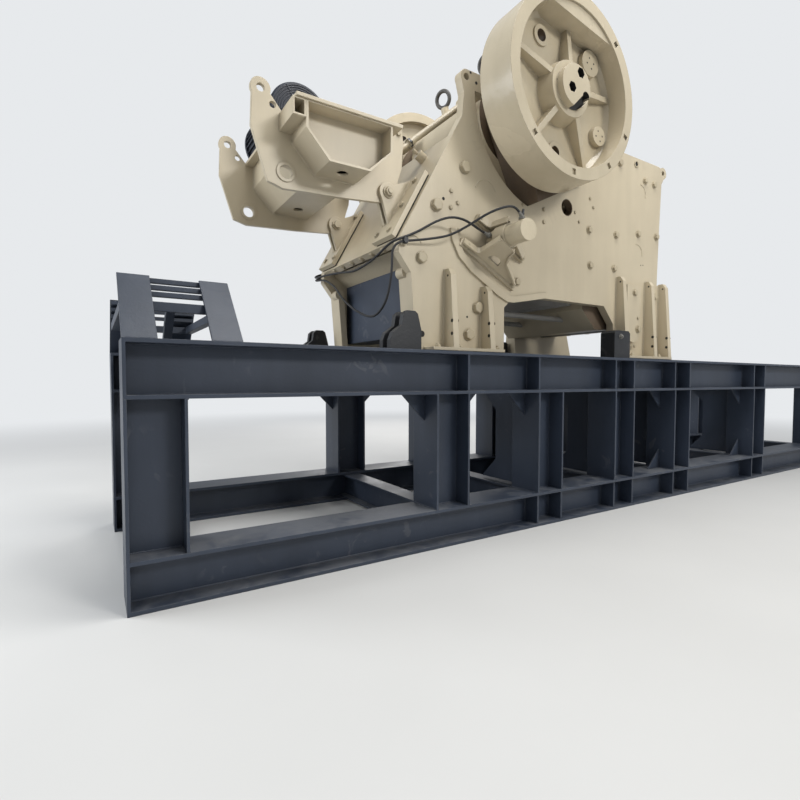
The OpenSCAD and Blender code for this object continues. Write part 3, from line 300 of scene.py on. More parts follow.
close_tree(bead_tree, net.add("GeometryNodeSetMaterial", {}, {"Geometry": skin, "Material": coat}))


def grow(carrier, tree, inputs, smooth):
    """Runs a node tree on a carrier mesh and leaves its result as one plain mesh."""
    change = carrier.modifiers.new(tree.name, "NODES")
    change.node_group = tree
    for item in tree.interface.items_tree:
        if item.item_type == "SOCKET" and item.in_out == "INPUT" and item.name in inputs:
            change[item.identifier] = inputs[item.name]
    bpy.context.view_layer.update()
    made = bpy.data.meshes.new_from_object(carrier.evaluated_get(bpy.context.evaluated_depsgraph_get()))
    carrier.modifiers.clear()
    carrier.data = made
    for face in made.polygons:
        face.use_smooth = smooth


def weld(name, lines, finish, body, radius=0.007, ripple=0.012, uneven=0.3, sides=6):
    """Beads along polylines given as lists of points in metres."""
    points, edges = [], []
    for path in lines:
        edges += [(len(points) + i, len(points) + i + 1) for i in range(len(path) - 1)]
        points += path
    carrier = mesh_piece(name, points, [], finish, edges)
    grow(carrier, bead_tree, {"Bead radius": radius, "Ripple": ripple, "Unevenness": uneven, "Sides": sides,
                              "Finish": finish}, True)
    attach(carrier, body)


# Places on the chassis, in metres. X runs along it. The other values are distances
# from its middle line and heights above the floor.
COLUMN_X = [-5.8, -3.23, -1.86, -0.51, 0.815, 3.14, 5.8]
COLUMN_HALF, COLUMN_WEB_HALF = 0.201, 0.176
COLUMN_FOOT, COLUMN_HEAD = 0.372, 1.466
GIRDER_END, SEAM_END = 5.99, 5.977
WEB_FACES = (1.089, 1.111)
FLANGE_IN, FLANGE_OUT = 0.905, 1.295
STIFFENER_IN, STIFFENER_OUT = 1.112, 1.292
STIFFENER_AT, STIFFENER_FACE = 0.189, 0.012
UPPER_STIFFENER, LOWER_STIFFENER = (1.85, 1.5), (0.338, 0.032)
SEAM_Z = (0.031, 0.339, 1.499, 1.851)
TRESTLE_X, TRESTLE_LEG_HALF, TRESTLE_LEG_FACES, TRESTLE_Z = (-5.89, -5.31), 0.103, (1.262, 1.229), 1.884
BOTH = (-1, 1)


def round_stiffeners(columns, ways, side, top, foot):
    """Beads round the stiffeners that stand before and behind the columns in a girder."""
    beads = []
    for x, signs in zip(columns, ways):
        for sign in signs:
            for face in (-STIFFENER_FACE, STIFFENER_FACE):
                at = x + sign * STIFFENER_AT + face
                beads.append([(at, side * STIFFENER_OUT, top), (at, side * STIFFENER_IN, top),
                              (at, side * STIFFENER_IN, foot), (at, side * STIFFENER_OUT, foot)])
    return beads


hand_laid, machine_laid = [], []
for side in BOTH:
    for x in COLUMN_X:
        for z in (COLUMN_FOOT, COLUMN_HEAD):
            for edge_x in [e for e in (x - COLUMN_HALF, x + COLUMN_HALF) if abs(e) < GIRDER_END]:
                hand_laid.append([(edge_x, side * FLANGE_IN, z), (edge_x, side * FLANGE_OUT, z)])
            for web in WEB_FACES:
                hand_laid.append([(x - COLUMN_WEB_HALF, side * web, z), (x + COLUMN_WEB_HALF, side * web, z)])
    hand_laid += round_stiffeners(COLUMN_X[1:6], ((1,), (-1,), BOTH, BOTH, BOTH), side, *UPPER_STIFFENER)
    hand_laid += round_stiffeners(COLUMN_X[2:6], (BOTH, BOTH, BOTH, BOTH), side, *LOWER_STIFFENER)
    for x in TRESTLE_X:
        for y in TRESTLE_LEG_FACES:
            hand_laid.append([(x - TRESTLE_LEG_HALF, side * y, TRESTLE_Z),
                              (x + TRESTLE_LEG_HALF, side * y, TRESTLE_Z)])
    for z in SEAM_Z:
        for web in reversed(WEB_FACES):
            machine_laid.append([(-SEAM_END, side * web, z), (SEAM_END, side * web, z)])
weld("chassis_hand_welds", hand_laid, chassis_primer, "frame")
weld("chassis_machine_seams", machine_laid, chassis_primer, "frame", radius=0.009, ripple=6.0, uneven=0.0)


# The crusher's frame: thick side plates, cross frames and castings in one cream
# machine enamel, a little glossy, with soft grime and painted shade in the corners.
ENAMEL_DUST, ENAMEL_CHIP = (0.33, 0.28, 0.205), (0.66, 0.58, 0.43)
cream_enamel = painted_steel(
    "cream_enamel", (0.556, 0.482, 0.350), (0.480, 0.413, 0.297), ENAMEL_DUST, ENAMEL_CHIP,
    gloss=0.36, grain=0.35, dusting=0.25, wearing=0.35, grime_and_shade=0.7)
dress(["side_plate_near", "side_plate_far", "rear_frame", "front_frame", "motor_clevises", "motor_arms",
       "motor_cross_beam", "motor_top_plate", "motor_side_tube", "cylinder_bracket_near",
       "cylinder_bracket_far"], cream_enamel)

# The crusher's own origin lies below its shaft, on the middle line: in metres in the room.
ORIGIN_X, ORIGIN_Z = -1.89, 1.942


def on_crusher(x, y, z):
    """A point of the crusher, in millimetres from its own origin, in the room."""
    return (x / 1000 + ORIGIN_X, y / 1000, z / 1000 + ORIGIN_Z)


# Places on the crusher, in millimetres: the height of the shaft, the outer faces of
# the side plates, and the axis of the wedge cylinders.
SHAFT_Z = 2685
PLATE = 950
CYLINDER_X, CYLINDER_Z = -589, 1153
SHAFT = on_crusher(0, 0, SHAFT_Z)


def from_shaft(face):
    """A face's centre from the shaft's axis: along the machine, up, and straight out, in metres."""
    x, z = face.center.x - SHAFT[0], face.center.z - SHAFT[2]
    return x, z, math.hypot(x, z)


def smooth_copy(node, finish, angle=32.0):
    """A turned or cast piece: a merged copy of the CAD node, smooth over its curves, stands for it."""
    mesh = frame["nodes"][node].data.copy()
    form = bmesh.new()
    form.from_mesh(mesh)
    bmesh.ops.remove_doubles(form, verts=form.verts, dist=0.00002)
    form.to_mesh(mesh)
    form.free()
    if "custom_normal" in mesh.attributes:
        mesh.attributes.remove(mesh.attributes["custom_normal"])
    mesh.materials.clear()
    mesh.materials.append(finish)
    for face in mesh.polygons:
        face.use_smooth = True
    mesh.set_sharp_from_angle(angle=math.radians(angle))
    piece = bpy.data.objects.new(node + "_finished", mesh)
    scene.collection.objects.link(piece)
    body = frame["nodes"][node]["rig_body"]
    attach(piece, body)
    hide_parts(node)
    return piece


# Weld beads of the crusher, under the enamel: round the ribs and flanges of the
# feet, the box beam in the arms, the ears of the clevises, the pad between the
# front ribs, and old plug welds.
REAR_RIBS, FRONT_RIBS = ((-1168, 790), (-674, 660)), ((1687, 1030), (2328, 1030), (2671, 1030))
RIB_FACE, FOOT_OUT, FOOT_TOP = 37, 1118, -10
FOOT_SPANS = ((-1454, -510), (1652, 2706))
KNEE = (-1744, 1036)
ALONG, OUTWARD = (0.4892, 0.8722), (-0.8722, 0.4892)
BOX_BEAM = [(-959, 992), (-959, 762), (-744, 526), (-337, 526), (-102, 749), (-102, 992)]
ARM_FACES, EAR_FACES = (598, 642), (561, 599, 641, 679)
EAR_FOOT, EAR_FROM, EAR_TO = 67, 200, 760
PLUGS = ((2095, 1400, 125, -10, 110), (2160, 2225, 115, -20, 100), (-650, 1660, 150, 20, 165),
         (-1592, 960, 120, 30, 150))
PAD_X, PAD_TOP, PAD_FOOT, PAD_RADIUS = 1985, 950, 330, 150


def on_slope(along, out, y):
    """A point of the slanted beam: along it from the knee, out from it, and across the machine."""
    return on_crusher(KNEE[0] + along * ALONG[0] + out * OUTWARD[0], y,
                      KNEE[1] + along * ALONG[1] + out * OUTWARD[1])


def arc(x, y, z, radius, degrees):
    """Points of a circle square to the shaft, in millimetres, at angles in degrees."""
    return [on_crusher(x + radius * math.cos(math.radians(a)), y, z + radius * math.sin(math.radians(a)))
            for a in degrees]


frame_beads, fine_beads = [], []
for side in BOTH:
    skin_y = side * (PLATE + 2)
    for x, top in REAR_RIBS + FRONT_RIBS:
        for edge in (x - RIB_FACE, x + RIB_FACE):
            frame_beads.append([on_crusher(edge, skin_y, top), on_crusher(edge, skin_y, FOOT_TOP),
                                on_crusher(edge, side * FOOT_OUT, FOOT_TOP)])
    for x0, x1 in FOOT_SPANS:
        frame_beads.append([on_crusher(x0, skin_y, FOOT_TOP), on_crusher(x1, skin_y, FOOT_TOP)])
    for face in ARM_FACES:
        frame_beads.append([on_crusher(KNEE[0] + x, side * face, KNEE[1] + z) for x, z in BOX_BEAM])
    for face in EAR_FACES:
        frame_beads.append([on_slope(at, EAR_FOOT, side * face) for at in (EAR_FROM, EAR_TO)])
    for x, z, radius, start, end in PLUGS:
        fine_beads.append(arc(x, side * (PLATE - 1), z, radius, range(start, end, 8)))
    left, right = PAD_X - PAD_RADIUS, PAD_X + PAD_RADIUS
    frame_beads.append([on_crusher(left, skin_y, PAD_TOP), on_crusher(left, skin_y, PAD_FOOT)]
                       + arc(PAD_X, skin_y, PAD_FOOT, PAD_RADIUS, range(190, 360, 10))
                       + [on_crusher(right, skin_y, PAD_FOOT), on_crusher(right, skin_y, PAD_TOP),
                          on_crusher(left, skin_y, PAD_TOP)])
weld("frame_welds", frame_beads, cream_enamel, "frame", radius=0.008)
weld("plug_welds", fine_beads, cream_enamel, "frame", radius=0.008, ripple=0.014, uneven=0.35)


# Hexagon bolts. Heads on washers through the side plates, nuts with the stud
# showing on the feet and the bracket, all painted over with the machine. The
# sizes in the tree are shares of half the width of the head.
bolt_tree, net, (seats, stud, washer, seed, coat) = new_tree(
    "hexagon_bolts", (("Seats", "NodeSocketGeometry", None), ("Stud", "NodeSocketFloat", -0.2),
                      ("Washer", "NodeSocketFloat", 1.28), ("Seed", "NodeSocketInt", 5),
                      ("Finish", "NodeSocketMaterial", None)), "Bolts")
WASHER_T, HEAD_T, CROWN_T = 0.14, 0.54, 0.08


def disc(net, sides, radius, depth, height):
    """A short round or hexagonal prism whose foot lies at a height."""
    drum = net.add("GeometryNodeMeshCylinder", {}, {"Vertices": sides, "Radius": radius, "Depth": depth},
                   out="Mesh")
    lift = net.add("ShaderNodeCombineXYZ", {}, {2: height + depth * 0.5})
    return net.add("GeometryNodeTransform", {}, {"Geometry": drum, "Translation": lift})


plate = disc(net, 24, washer, WASHER_T, 0.0)
head = disc(net, 6, 1.0, HEAD_T, WASHER_T)
crown = net.add("GeometryNodeMeshCone", {},
                {"Vertices": 6, "Radius Top": 0.84, "Radius Bottom": 1.0, "Depth": CROWN_T}, out="Mesh")
crown = net.add("GeometryNodeTransform", {}, {"Geometry": crown, "Translation": (0, 0, WASHER_T + HEAD_T)})
shank = disc(net, 14, 0.5, stud + 0.4, 0.36)
bolt = bolt_tree.nodes.new("GeometryNodeJoinGeometry")
for part in (plate, head, crown, shank):
    bolt_tree.links.new(part.socket, bolt.inputs[0])
bolt = Wire(bolt_tree, bolt.outputs[0])


def stood_up(net, seats, seed, coat, piece):
    """Copies of a piece on the seats, each turned to its own direction and scaled to its own size."""
    way = net.add("GeometryNodeInputNamedAttribute", {"data_type": "FLOAT_VECTOR"}, {"Name": "way"},
                  out="Attribute")
    size = net.add("GeometryNodeInputNamedAttribute", {"data_type": "FLOAT"}, {"Name": "size"},
                   out="Attribute")
    stand = net.add("FunctionNodeAlignRotationToVector", {"axis": "Z"}, {"Vector": way})
    turn = net.add("FunctionNodeRandomValue", {"data_type": "FLOAT"}, {"Min": 0.0, "Max": 6.28, "Seed": seed})
    spin = net.add("FunctionNodeAxisAngleToRotation", {}, {"Axis": (0, 0, 1), "Angle": turn})
    stand = net.add("FunctionNodeRotateRotation", {"rotation_space": "LOCAL"},
                    {"Rotation": stand, "Rotate By": spin})
    row = net.add("GeometryNodeInstanceOnPoints", {},
                  {"Points": seats, "Instance": piece, "Rotation": stand, "Scale": size})
    row = net.add("GeometryNodeRealizeInstances", {}, {"Geometry": row})
    return net.add("GeometryNodeSetMaterial", {}, {"Geometry": row, "Material": coat})


close_tree(bolt_tree, stood_up(net, seats, seed, coat, bolt))


def seated(name, places, tree, inputs, finish, body):
    """A tree grown on seats of (place, direction, half width), in metres."""
    carrier = mesh_piece(name, [p[0] for p in places], [], finish)
    carrier.data.attributes.new("way", "FLOAT_VECTOR", "POINT")
    carrier.data.attributes.new("size", "FLOAT", "POINT")
    for i, (_, direction, half) in enumerate(places):
        carrier.data.attributes["way"].data[i].vector = direction
        carrier.data.attributes["size"].data[i].value = half
    grow(carrier, tree, dict(inputs, Finish=finish), False)
    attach(carrier, body)


def bolts(name, places, finish, body, stud=-0.2, washer=1.28):
    """Bolts or nuts on seats. A stud longer than the head shows above it."""
    seated(name, places, bolt_tree, {"Stud": stud, "Washer": washer}, finish, body)


def both_sides(places, y, way=(0, 1, 0)):
    """Seats at (x, z, half width) in millimetres on the crusher, at the same height on both its sides."""
    return [(on_crusher(x, side * y, z), (way[0], side * way[1], way[2]), half / 1000)
            for x, z, half in places for side in BOTH]


# The bolts take a darker copy of the cream enamel and deep darkening at their feet: grime and painted shade.
bolt_enamel_grime_and_shade = painted_steel(
    "bolt_enamel_grime_and_shade", (0.50, 0.43, 0.30), (0.40, 0.34, 0.235), (0.27, 0.225, 0.16), (0.62, 0.56, 0.43),
    gloss=0.38, grain=0.6, dusting=0.2, wearing=0.6, reach=0.05, grime_and_shade=1.0)
bolts("plate_heads", both_sides([(-947, 1870, 62), (-1310, 1420, 62), (-1490, 874, 58), (-760, 437, 62),
                                 (-877, 147, 62)], PLATE), bolt_enamel_grime_and_shade, "frame", washer=1.1)
plate_bolts = both_sides([(-1120, 1598, 21), (-1033, 1492, 21), (-1124, 1431, 21), (249, 1659, 21),
                          (252, 1515, 21), (-94, 1650, 17), (-104, 1525, 17), (1077, 1556, 42),
                          (1630, 1580, 42), (2119, 1670, 42), (2550, 1695, 42), (1601, 1138, 42),
                          (1109, 1118, 42), (2256, 2415, 40), (2473, 2406, 40), (1687, 2528, 42),
                          (1086, 1947, 19), (1153, 1850, 19), (805, 1725, 17), (882, 1623, 17),
                          (2548, 851, 38), (-173, 774, 40), (-1015, 1215, 20)], PLATE)
PAD_FACE, EAR_FACE = 995, 640
plate_bolts += both_sides([(2003, 854, 40), (2087, 363, 44), (2082, 513, 18), (2011, 129, 20)], PAD_FACE)
plate_bolts += both_sides([(-1565, 2184, 26)], EAR_FACE)
bolts("side_plate_bolts", plate_bolts, bolt_enamel_grime_and_shade, "frame")
bolts("foot_nuts", both_sides([(x, -12, 34) for x in (-1360, -1084, -560, 1880, 2500)], 1055, (0, 0, 1)),
      bolt_enamel_grime_and_shade, "frame", stud=0.5)
TILT = math.radians(27.4)
bar_nuts = [(CYLINDER_X + u * math.cos(TILT) + v * math.sin(TILT),
             CYLINDER_Z - u * math.sin(TILT) + v * math.cos(TILT), 34)
            for u, v in ((-262, -239), (470, -239), (-250, 110), (452, 110))]
bolts("bracket_nuts", both_sides(bar_nuts, 986), bolt_enamel_grime_and_shade, "frame", stud=0.35)
slope_bolts = [(on_slope(-20, -40, y), (-ALONG[0], 0, -ALONG[1]), 0.032)
               for y in (-590, -354, -117, 117, 354, 590)]
slope_bolts += [(on_slope(s, 65, side * y), (OUTWARD[0], 0, OUTWARD[1]), 0.030)
                for s, y in ((90, 780), (400, 780), (710, 780), (90, 530), (710, 530)) for side in BOTH]
bolts("clevis_bolts", slope_bolts, bolt_enamel_grime_and_shade, "frame")


# Drilled holes: the small lifting, locating and hose-clip holes show as thin discs of
# painted shade that lie on the plates.
hole_tree, net, (seats, seed, coat) = new_tree(
    "drilled_holes", (("Seats", "NodeSocketGeometry", None), ("Seed", "NodeSocketInt", None),
                      ("Finish", "NodeSocketMaterial", None)), "Holes")
well = net.add("GeometryNodeMeshCylinder", {}, {"Vertices": 24, "Radius": 1.0, "Depth": 0.06}, out="Mesh")
close_tree(hole_tree, stood_up(net, seats, seed, coat, well))
painted_hole_shade = painted_steel(
    "painted_hole_shade", (0.020, 0.018, 0.016), (0.012, 0.011, 0.010), (0.05, 0.045, 0.04), (0.10, 0.09, 0.08),
    gloss=0.7, grain=0.6, dusting=0.2, wearing=0.3)
plate_holes = both_sides([(-1216, 1502, 17), (-896, 329, 12), (-1476, 122, 32), (-872, 2861, 14),
                          (-793, 2779, 17), (-701, 2783, 11), (2248, 1259, 9), (2196, 1252, 9),
                          (1770, 773, 12), (2046, 2594, 29)], PLATE)
for x, top in REAR_RIBS + FRONT_RIBS:
    for at, y, half in ((259, 1085, 19), (130, 1085, 19), (top - 70, 1012, 12)):
        plate_holes += both_sides([(x - 35, at, half)], y, (-1, 0, 0))
        plate_holes += both_sides([(x + 35, at, half)], y, (1, 0, 0))
seated("plate_holes", plate_holes, hole_tree, {}, painted_hole_shade, "frame")


# The jaws: cast manganese steel dies and cheek plates, dark and dull from the
# mould, never painted on the face.
cast_manganese = painted_steel(
    "cast_manganese", (0.15, 0.135, 0.12), (0.10, 0.088, 0.078), (0.20, 0.14, 0.09), (0.30, 0.29, 0.28),
    gloss=0.58, grain=1.6, dusting=0.4, wearing=0.9)
dress(["fixed_jaw_die", "moving_jaw_die", "cheek_plates"], cast_manganese)


# The pitman, bearing housings and wedge cylinders: steel castings and turned
# parts under the same cream enamel, rougher than the plates. The housings and
# the sides of the pitman take a dark brown painted shade, for the shade behind the flywheels.
cast_enamel = painted_steel(
    "cast_enamel", (0.550, 0.478, 0.345), (0.468, 0.402, 0.284), ENAMEL_DUST, ENAMEL_CHIP,
    gloss=0.40, grain=1.3, dusting=0.25, wearing=0.35, grime_and_shade=0.9)
for node in ("wedge_cylinder_near", "wedge_cylinder_far", "pivot_pins", "adjusting_struts"):
    smooth_copy(node, cast_enamel)
brown_painted_shade = painted_steel(
    "brown_painted_shade", (0.145, 0.104, 0.068), (0.105, 0.074, 0.048), (0.19, 0.16, 0.12), (0.26, 0.23, 0.19),
    gloss=0.52, grain=1.5, dusting=0.3, wearing=0.5, grime_and_shade=0.8)
for node in ("bearing_housing_near", "bearing_housing_far"):
    smooth_copy(node, brown_painted_shade)
pitman = smooth_copy("pitman", cast_enamel)
pitman.data.materials.append(brown_painted_shade)
for face in pitman.data.polygons:
    face.material_index = int(abs(face.normal.y) > 0.9)


def turned(name, profile, foot, way, finish, body="frame", sides=40):
    """A turned ring or plug: (radius, height) in millimetres, spun round its axis from its foot."""
    form = bmesh.new()
    rows = []
    for radius, height in profile:
        turns = [2 * math.pi * k / sides for k in range(sides if radius else 1)]
        rows.append([form.verts.new((radius * math.cos(t) / 1000, radius * math.sin(t) / 1000, height / 1000))
                     for t in turns])
    for low, high in zip(rows, rows[1:]):
        for k in range(sides):
            j = (k + 1) % sides
            corners = [low[k % len(low)], low[j % len(low)], high[j % len(high)], high[k % len(high)]]
            form.faces.new(list(dict.fromkeys(corners)))
    bmesh.ops.remove_doubles(form, verts=form.verts, dist=0.00002)
    bmesh.ops.recalc_face_normals(form, faces=form.faces)
    mesh = bpy.data.meshes.new(name)
    form.to_mesh(mesh)
    form.free()
    mesh.transform(Matrix.Translation(foot) @ Vector(way).to_track_quat("Z", "Y").to_matrix().to_4x4())
    mesh.materials.append(finish)
    for face in mesh.polygons:
        face.use_smooth = sides > 6
    mesh.set_sharp_from_angle(angle=math.radians(32.0))
    piece = bpy.data.objects.new(name, mesh)
    scene.collection.objects.link(piece)
    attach(piece, body)
    return piece


SIDES = ((-1, "near"), (1, "far"))

# A locating hole near the front of each side plate has a ring welded round it, and
# the large inspection hole a sleeve in dark brown painted shade.
for side, word in SIDES:
    turned("inspection_sleeve_" + word, [(94, 0), (99.6, 0), (99.6, 97), (94, 97), (94, 0)],
           on_crusher(656, side * 852, 1758), (0, side, 0), brown_painted_shade, sides=48)
    turned("locating_ring_" + word, [(30, 0), (48, 0), (48, 7), (45, 10), (33, 10), (30, 7), (30, 0)],
           on_crusher(2046, side * (PLATE - 0.5), 2594), (0, side, 0), bolt_enamel_grime_and_shade, sides=28)


# Bearing covers: a turned ring bolted on the outer face of each housing, and the
# holding-down bolts of the housings on their slanted seat, all in the dark brown painted shade of the
# housings.
for side, word in SIDES:
    turned("bearing_cover_" + word,
           [(205, 0), (340, 0), (340, 14), (332, 22), (215, 22), (205, 14), (205, 0)],
           on_crusher(0, side * 1100, SHAFT_Z), (0, side, 0), brown_painted_shade)
COVER_BOLT_RING, COVER_FACE = 305, 1122
cover_bolts = both_sides([(COVER_BOLT_RING * math.cos(math.radians(a)),
                           SHAFT_Z + COVER_BOLT_RING * math.sin(math.radians(a)), 20)
                          for a in range(15, 360, 30)], COVER_FACE)
SEAT, SEAT_AT, SEAT_BOLT_AT, SEAT_BOLT_UP = math.radians(26), 938, 486, 90
base = (SEAT_AT * math.sin(SEAT), SHAFT_Z - SEAT_AT * math.cos(SEAT))
seat_bolt = (base[0] + SEAT_BOLT_AT * math.cos(SEAT) - SEAT_BOLT_UP * math.sin(SEAT),
             base[1] + SEAT_BOLT_AT * math.sin(SEAT) + SEAT_BOLT_UP * math.cos(SEAT))
cover_bolts += [(on_crusher(seat_bolt[0], side * y, seat_bolt[1]),
                 (-math.sin(SEAT), 0, math.cos(SEAT)), 0.042) for y in (780, 1020) for side in BOTH]
bolts("housing_bolts", cover_bolts, brown_painted_shade, "frame", stud=0.2)


# The flywheels: one iron casting each, machined on the rim, in a glossier coat of
# the enamel. The pockets of the end plate take a dark painted shade and the bores of the web
# a brown painted shade; the pads and the ring of the hub are drilled and tapped, their holes
# shown as discs of painted shade. Measures of the pockets and bores are in metres, those of the
# tapped holes in millimetres.
POCKET_FROM, POCKET_TO, POCKETS_WITHIN = 1.526, 1.593, 0.207
BORE_AT, BORE_WITHIN = 0.6, 0.064
WHEEL_PADS, PAD_TAPS, PAD_TAP_RING, WHEEL_PAD_FACE = ((46, 647), (-24, 679)), (10, 110, 190, 290), 55, 1410
wheel_enamel = painted_steel(
    "wheel_enamel", (0.550, 0.478, 0.350), (0.468, 0.404, 0.290), ENAMEL_DUST, ENAMEL_CHIP,
    gloss=0.25, grain=0.7, dusting=0.3, wearing=0.45, grime_and_shade=0.9)
web_bores = [(BORE_AT * math.cos(math.radians(a)), BORE_AT * math.sin(math.radians(a))) for a in (118, 265)]
for node in ("flywheel_near", "flywheel_far"):
    wheel = smooth_copy(node, wheel_enamel)
    wheel.data.materials.append(painted_hole_shade)
    wheel.data.materials.append(brown_painted_shade)
    for face in wheel.data.polygons:
        x, z, out = from_shaft(face)
        if POCKET_FROM < abs(face.center.y) < POCKET_TO and out < POCKETS_WITHIN:
            face.material_index = 1
        if abs(face.normal.y) < 0.5 and any(math.hypot(x - u, z - v) < BORE_WITHIN for u, v in web_bores):
            face.material_index = 2
rotor = frame["nodes"]["flywheel_near"]["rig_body"]
taps = []
for angle, at in WHEEL_PADS:
    for turn in PAD_TAPS:
        x = at * math.cos(math.radians(angle)) + PAD_TAP_RING * math.cos(math.radians(turn))
        z = at * math.sin(math.radians(angle)) + PAD_TAP_RING * math.sin(math.radians(turn))
        taps += both_sides([(x, SHAFT_Z + z, 10)], WHEEL_PAD_FACE)
taps += both_sides([(-207, 2715, 13)], 1520) + both_sides([(457, 3441, 11), (835, 2365, 11)], 1599.5)
seated("flywheel_taps", taps, hole_tree, {}, painted_hole_shade, rotor)


# Bare machined steel: shaft, toggle plate, wedges and tension rods, wiped with
# oil. Springs on the rods, held by big nuts, keep the toggle plate in its seats.
machined_steel = painted_steel(
    "machined_steel", (0.40, 0.385, 0.36), (0.30, 0.285, 0.265), (0.24, 0.17, 0.11), (0.55, 0.54, 0.52),
    gloss=0.34, grain=0.4, dusting=0.3, wearing=0.6)
for node in ("eccentric_shaft", "toggle_plate"):
    smooth_copy(node, machined_steel)
dress(["toggle_wedges"], machined_steel)
ROD_Y, ROD_Z = 380, 500
COIL_RADIUS, COIL_FROM, COIL_LENGTH, COIL_POINTS, COIL_TURN = 64, -1127, 214, 160, 0.275
SPRING_SEATS = (-1140, -912)
coils = []
for side, word in SIDES:
    rod = turned("tension_rod_" + word, [(0, 0), (30, 0), (35, 5), (35, 2625), (30, 2630), (0, 2630)],
                 on_crusher(-1230, side * ROD_Y, ROD_Z), (1, 0, 0), machined_steel)
    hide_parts("tension_rods")
    for x in SPRING_SEATS:
        turned("spring_seat_%s_%d" % (word, -x),
               [(36, 0), (86, 0), (88, 2), (88, 10), (86, 12), (36, 12), (36, 0)],
               on_crusher(x, side * ROD_Y, ROD_Z), (1, 0, 0), machined_steel)
    coils.append([on_crusher(COIL_FROM + COIL_LENGTH * k / COIL_POINTS,
                             side * ROD_Y + COIL_RADIUS * math.cos(k * COIL_TURN),
                             ROD_Z + COIL_RADIUS * math.sin(k * COIL_TURN)) for k in range(COIL_POINTS + 1)])
tension_nuts = [(on_crusher(SPRING_SEATS[0], side * ROD_Y, ROD_Z), (-1, 0, 0), 0.088) for side in BOTH]
bolts("tension_nuts", tension_nuts, machined_steel, "frame", washer=1.0)


# Rubber pads under the feet and clevises, the black stops welded to the deck with
# their clamp bolts in plated steel, and the black coil springs of the rods.
black_rubber = painted_steel(
    "black_rubber", (0.022, 0.022, 0.024), (0.015, 0.015, 0.016), (0.12, 0.115, 0.105), (0.05, 0.05, 0.05),
    gloss=0.62, grain=0.8, dusting=0.5, wearing=0.3)
black_paint = painted_steel(
    "black_paint", (0.020, 0.021, 0.024), (0.013, 0.014, 0.016), (0.13, 0.125, 0.115), (0.08, 0.08, 0.08),
    gloss=0.42, grain=0.8, dusting=0.5, wearing=0.6)
dress(["rubber_pads"], black_rubber)
dress(["transport_stops"], black_paint)
plated_steel = painted_steel(
    "plated_steel", (0.20, 0.195, 0.175), (0.13, 0.125, 0.11), (0.10, 0.09, 0.07), (0.42, 0.41, 0.38),
    gloss=0.36, grain=0.4, dusting=0.3, wearing=0.5, reach=0.05, grime_and_shade=0.9)
bolts("stop_bolts", both_sides([(1406, 215, 27)], 1200), plated_steel, "frame", stud=0.4)
weld("tension_springs", coils, black_paint, "frame", radius=0.012, ripple=0.010, uneven=0.0, sides=12)


# Adjusting struts carry a black lock nut each, and the lifting eyes are dark
# forged rings on painted shanks.
STRUT_Y, STRUT_LOW, STRUT_HIGH, LOCK_NUT_AT = 530, (-1522, 2045), (-640, 2798), 196
EYE_BEYOND = 0.672
rise = math.atan2(STRUT_HIGH[1] - STRUT_LOW[1], STRUT_HIGH[0] - STRUT_LOW[0])
for side, word in SIDES:
    turned("lock_nut_" + word, [(35.5, 0), (48, 0), (53, 4), (53, 30), (48, 34), (35.5, 34), (35.5, 0)],
           on_crusher(STRUT_LOW[0] + LOCK_NUT_AT * math.cos(rise), side * STRUT_Y,
                      STRUT_LOW[1] + LOCK_NUT_AT * math.sin(rise)),
           (math.cos(rise), 0, math.sin(rise)), black_paint, sides=6)
eyes = smooth_copy("lifting_eyes", cast_enamel)
forged_steel = painted_steel(
    "forged_steel", (0.085, 0.080, 0.072), (0.050, 0.047, 0.043), (0.16, 0.10, 0.06), (0.32, 0.31, 0.30),
    gloss=0.45, grain=1.0, dusting=0.4, wearing=0.9)
eyes.data.materials.append(forged_steel)
for face in eyes.data.polygons:
    if from_shaft(face)[2] > EYE_BEYOND:
        face.material_index = 1


# The motor: a finned cast-iron body in near-black blue enamel on the top plate,
# with a pressed fan cowl and its round grille on the free end.
motor_enamel = painted_steel(
    "motor_enamel", (0.013, 0.017, 0.030), (0.009, 0.012, 0.021), (0.07, 0.072, 0.075), (0.05, 0.055, 0.065),
    gloss=0.42, grain=1.0, dusting=0.25, wearing=0.4)
smooth_copy("motor", motor_enamel)
FAN_X, FAN_Y, FAN_Z = -2390, 20, 2414
turned("fan_cowl", [(290, -8), (321, -8), (323, 0), (323, 44), (304, 64), (60, 80), (0, 80)],
       on_crusher(FAN_X, FAN_Y, FAN_Z), (0, -1, 0), motor_enamel, sides=64)


def over_cowl(radius, turn, lift):
    """A point over the cone of the fan cowl, in the room."""
    return on_crusher(FAN_X + radius * math.cos(turn), FAN_Y - lift + (radius - 60) * 0.0656,
                      FAN_Z + radius * math.sin(turn))


rings = [[over_cowl(r, k * math.pi / 24, 81) for k in range(49)] for r in range(70, 300, 24)]
spokes = [[over_cowl(r, a * math.pi / 3, 82) for r in (60, 180, 300)] for a in range(6)]
weld("cowl_grille", rings + spokes, motor_enamel, "frame", radius=0.005, ripple=0.03, uneven=0.0, sides=8)


# Hydraulic hoses: two black rubber lines from the ports of the near cylinder, over
# the bracket, through the clip at the rear corner and across to the far cylinder.
# Their knots are in millimetres: the near run, then the run across the rear.
PORTS = ((170, 135, "inner"), (90, 470, "outer"))
HOSE_STEP, HOSE_EASES, HOSE_RADIUS = 0.015, 16, 0.012


def port(angle, depth, reach):
    """A point out from a near port: its angle round the cylinder, and its depth along it."""
    return (CYLINDER_X + reach * math.cos(math.radians(angle)), -PLATE - depth,
            CYLINDER_Z + reach * math.sin(math.radians(angle)))


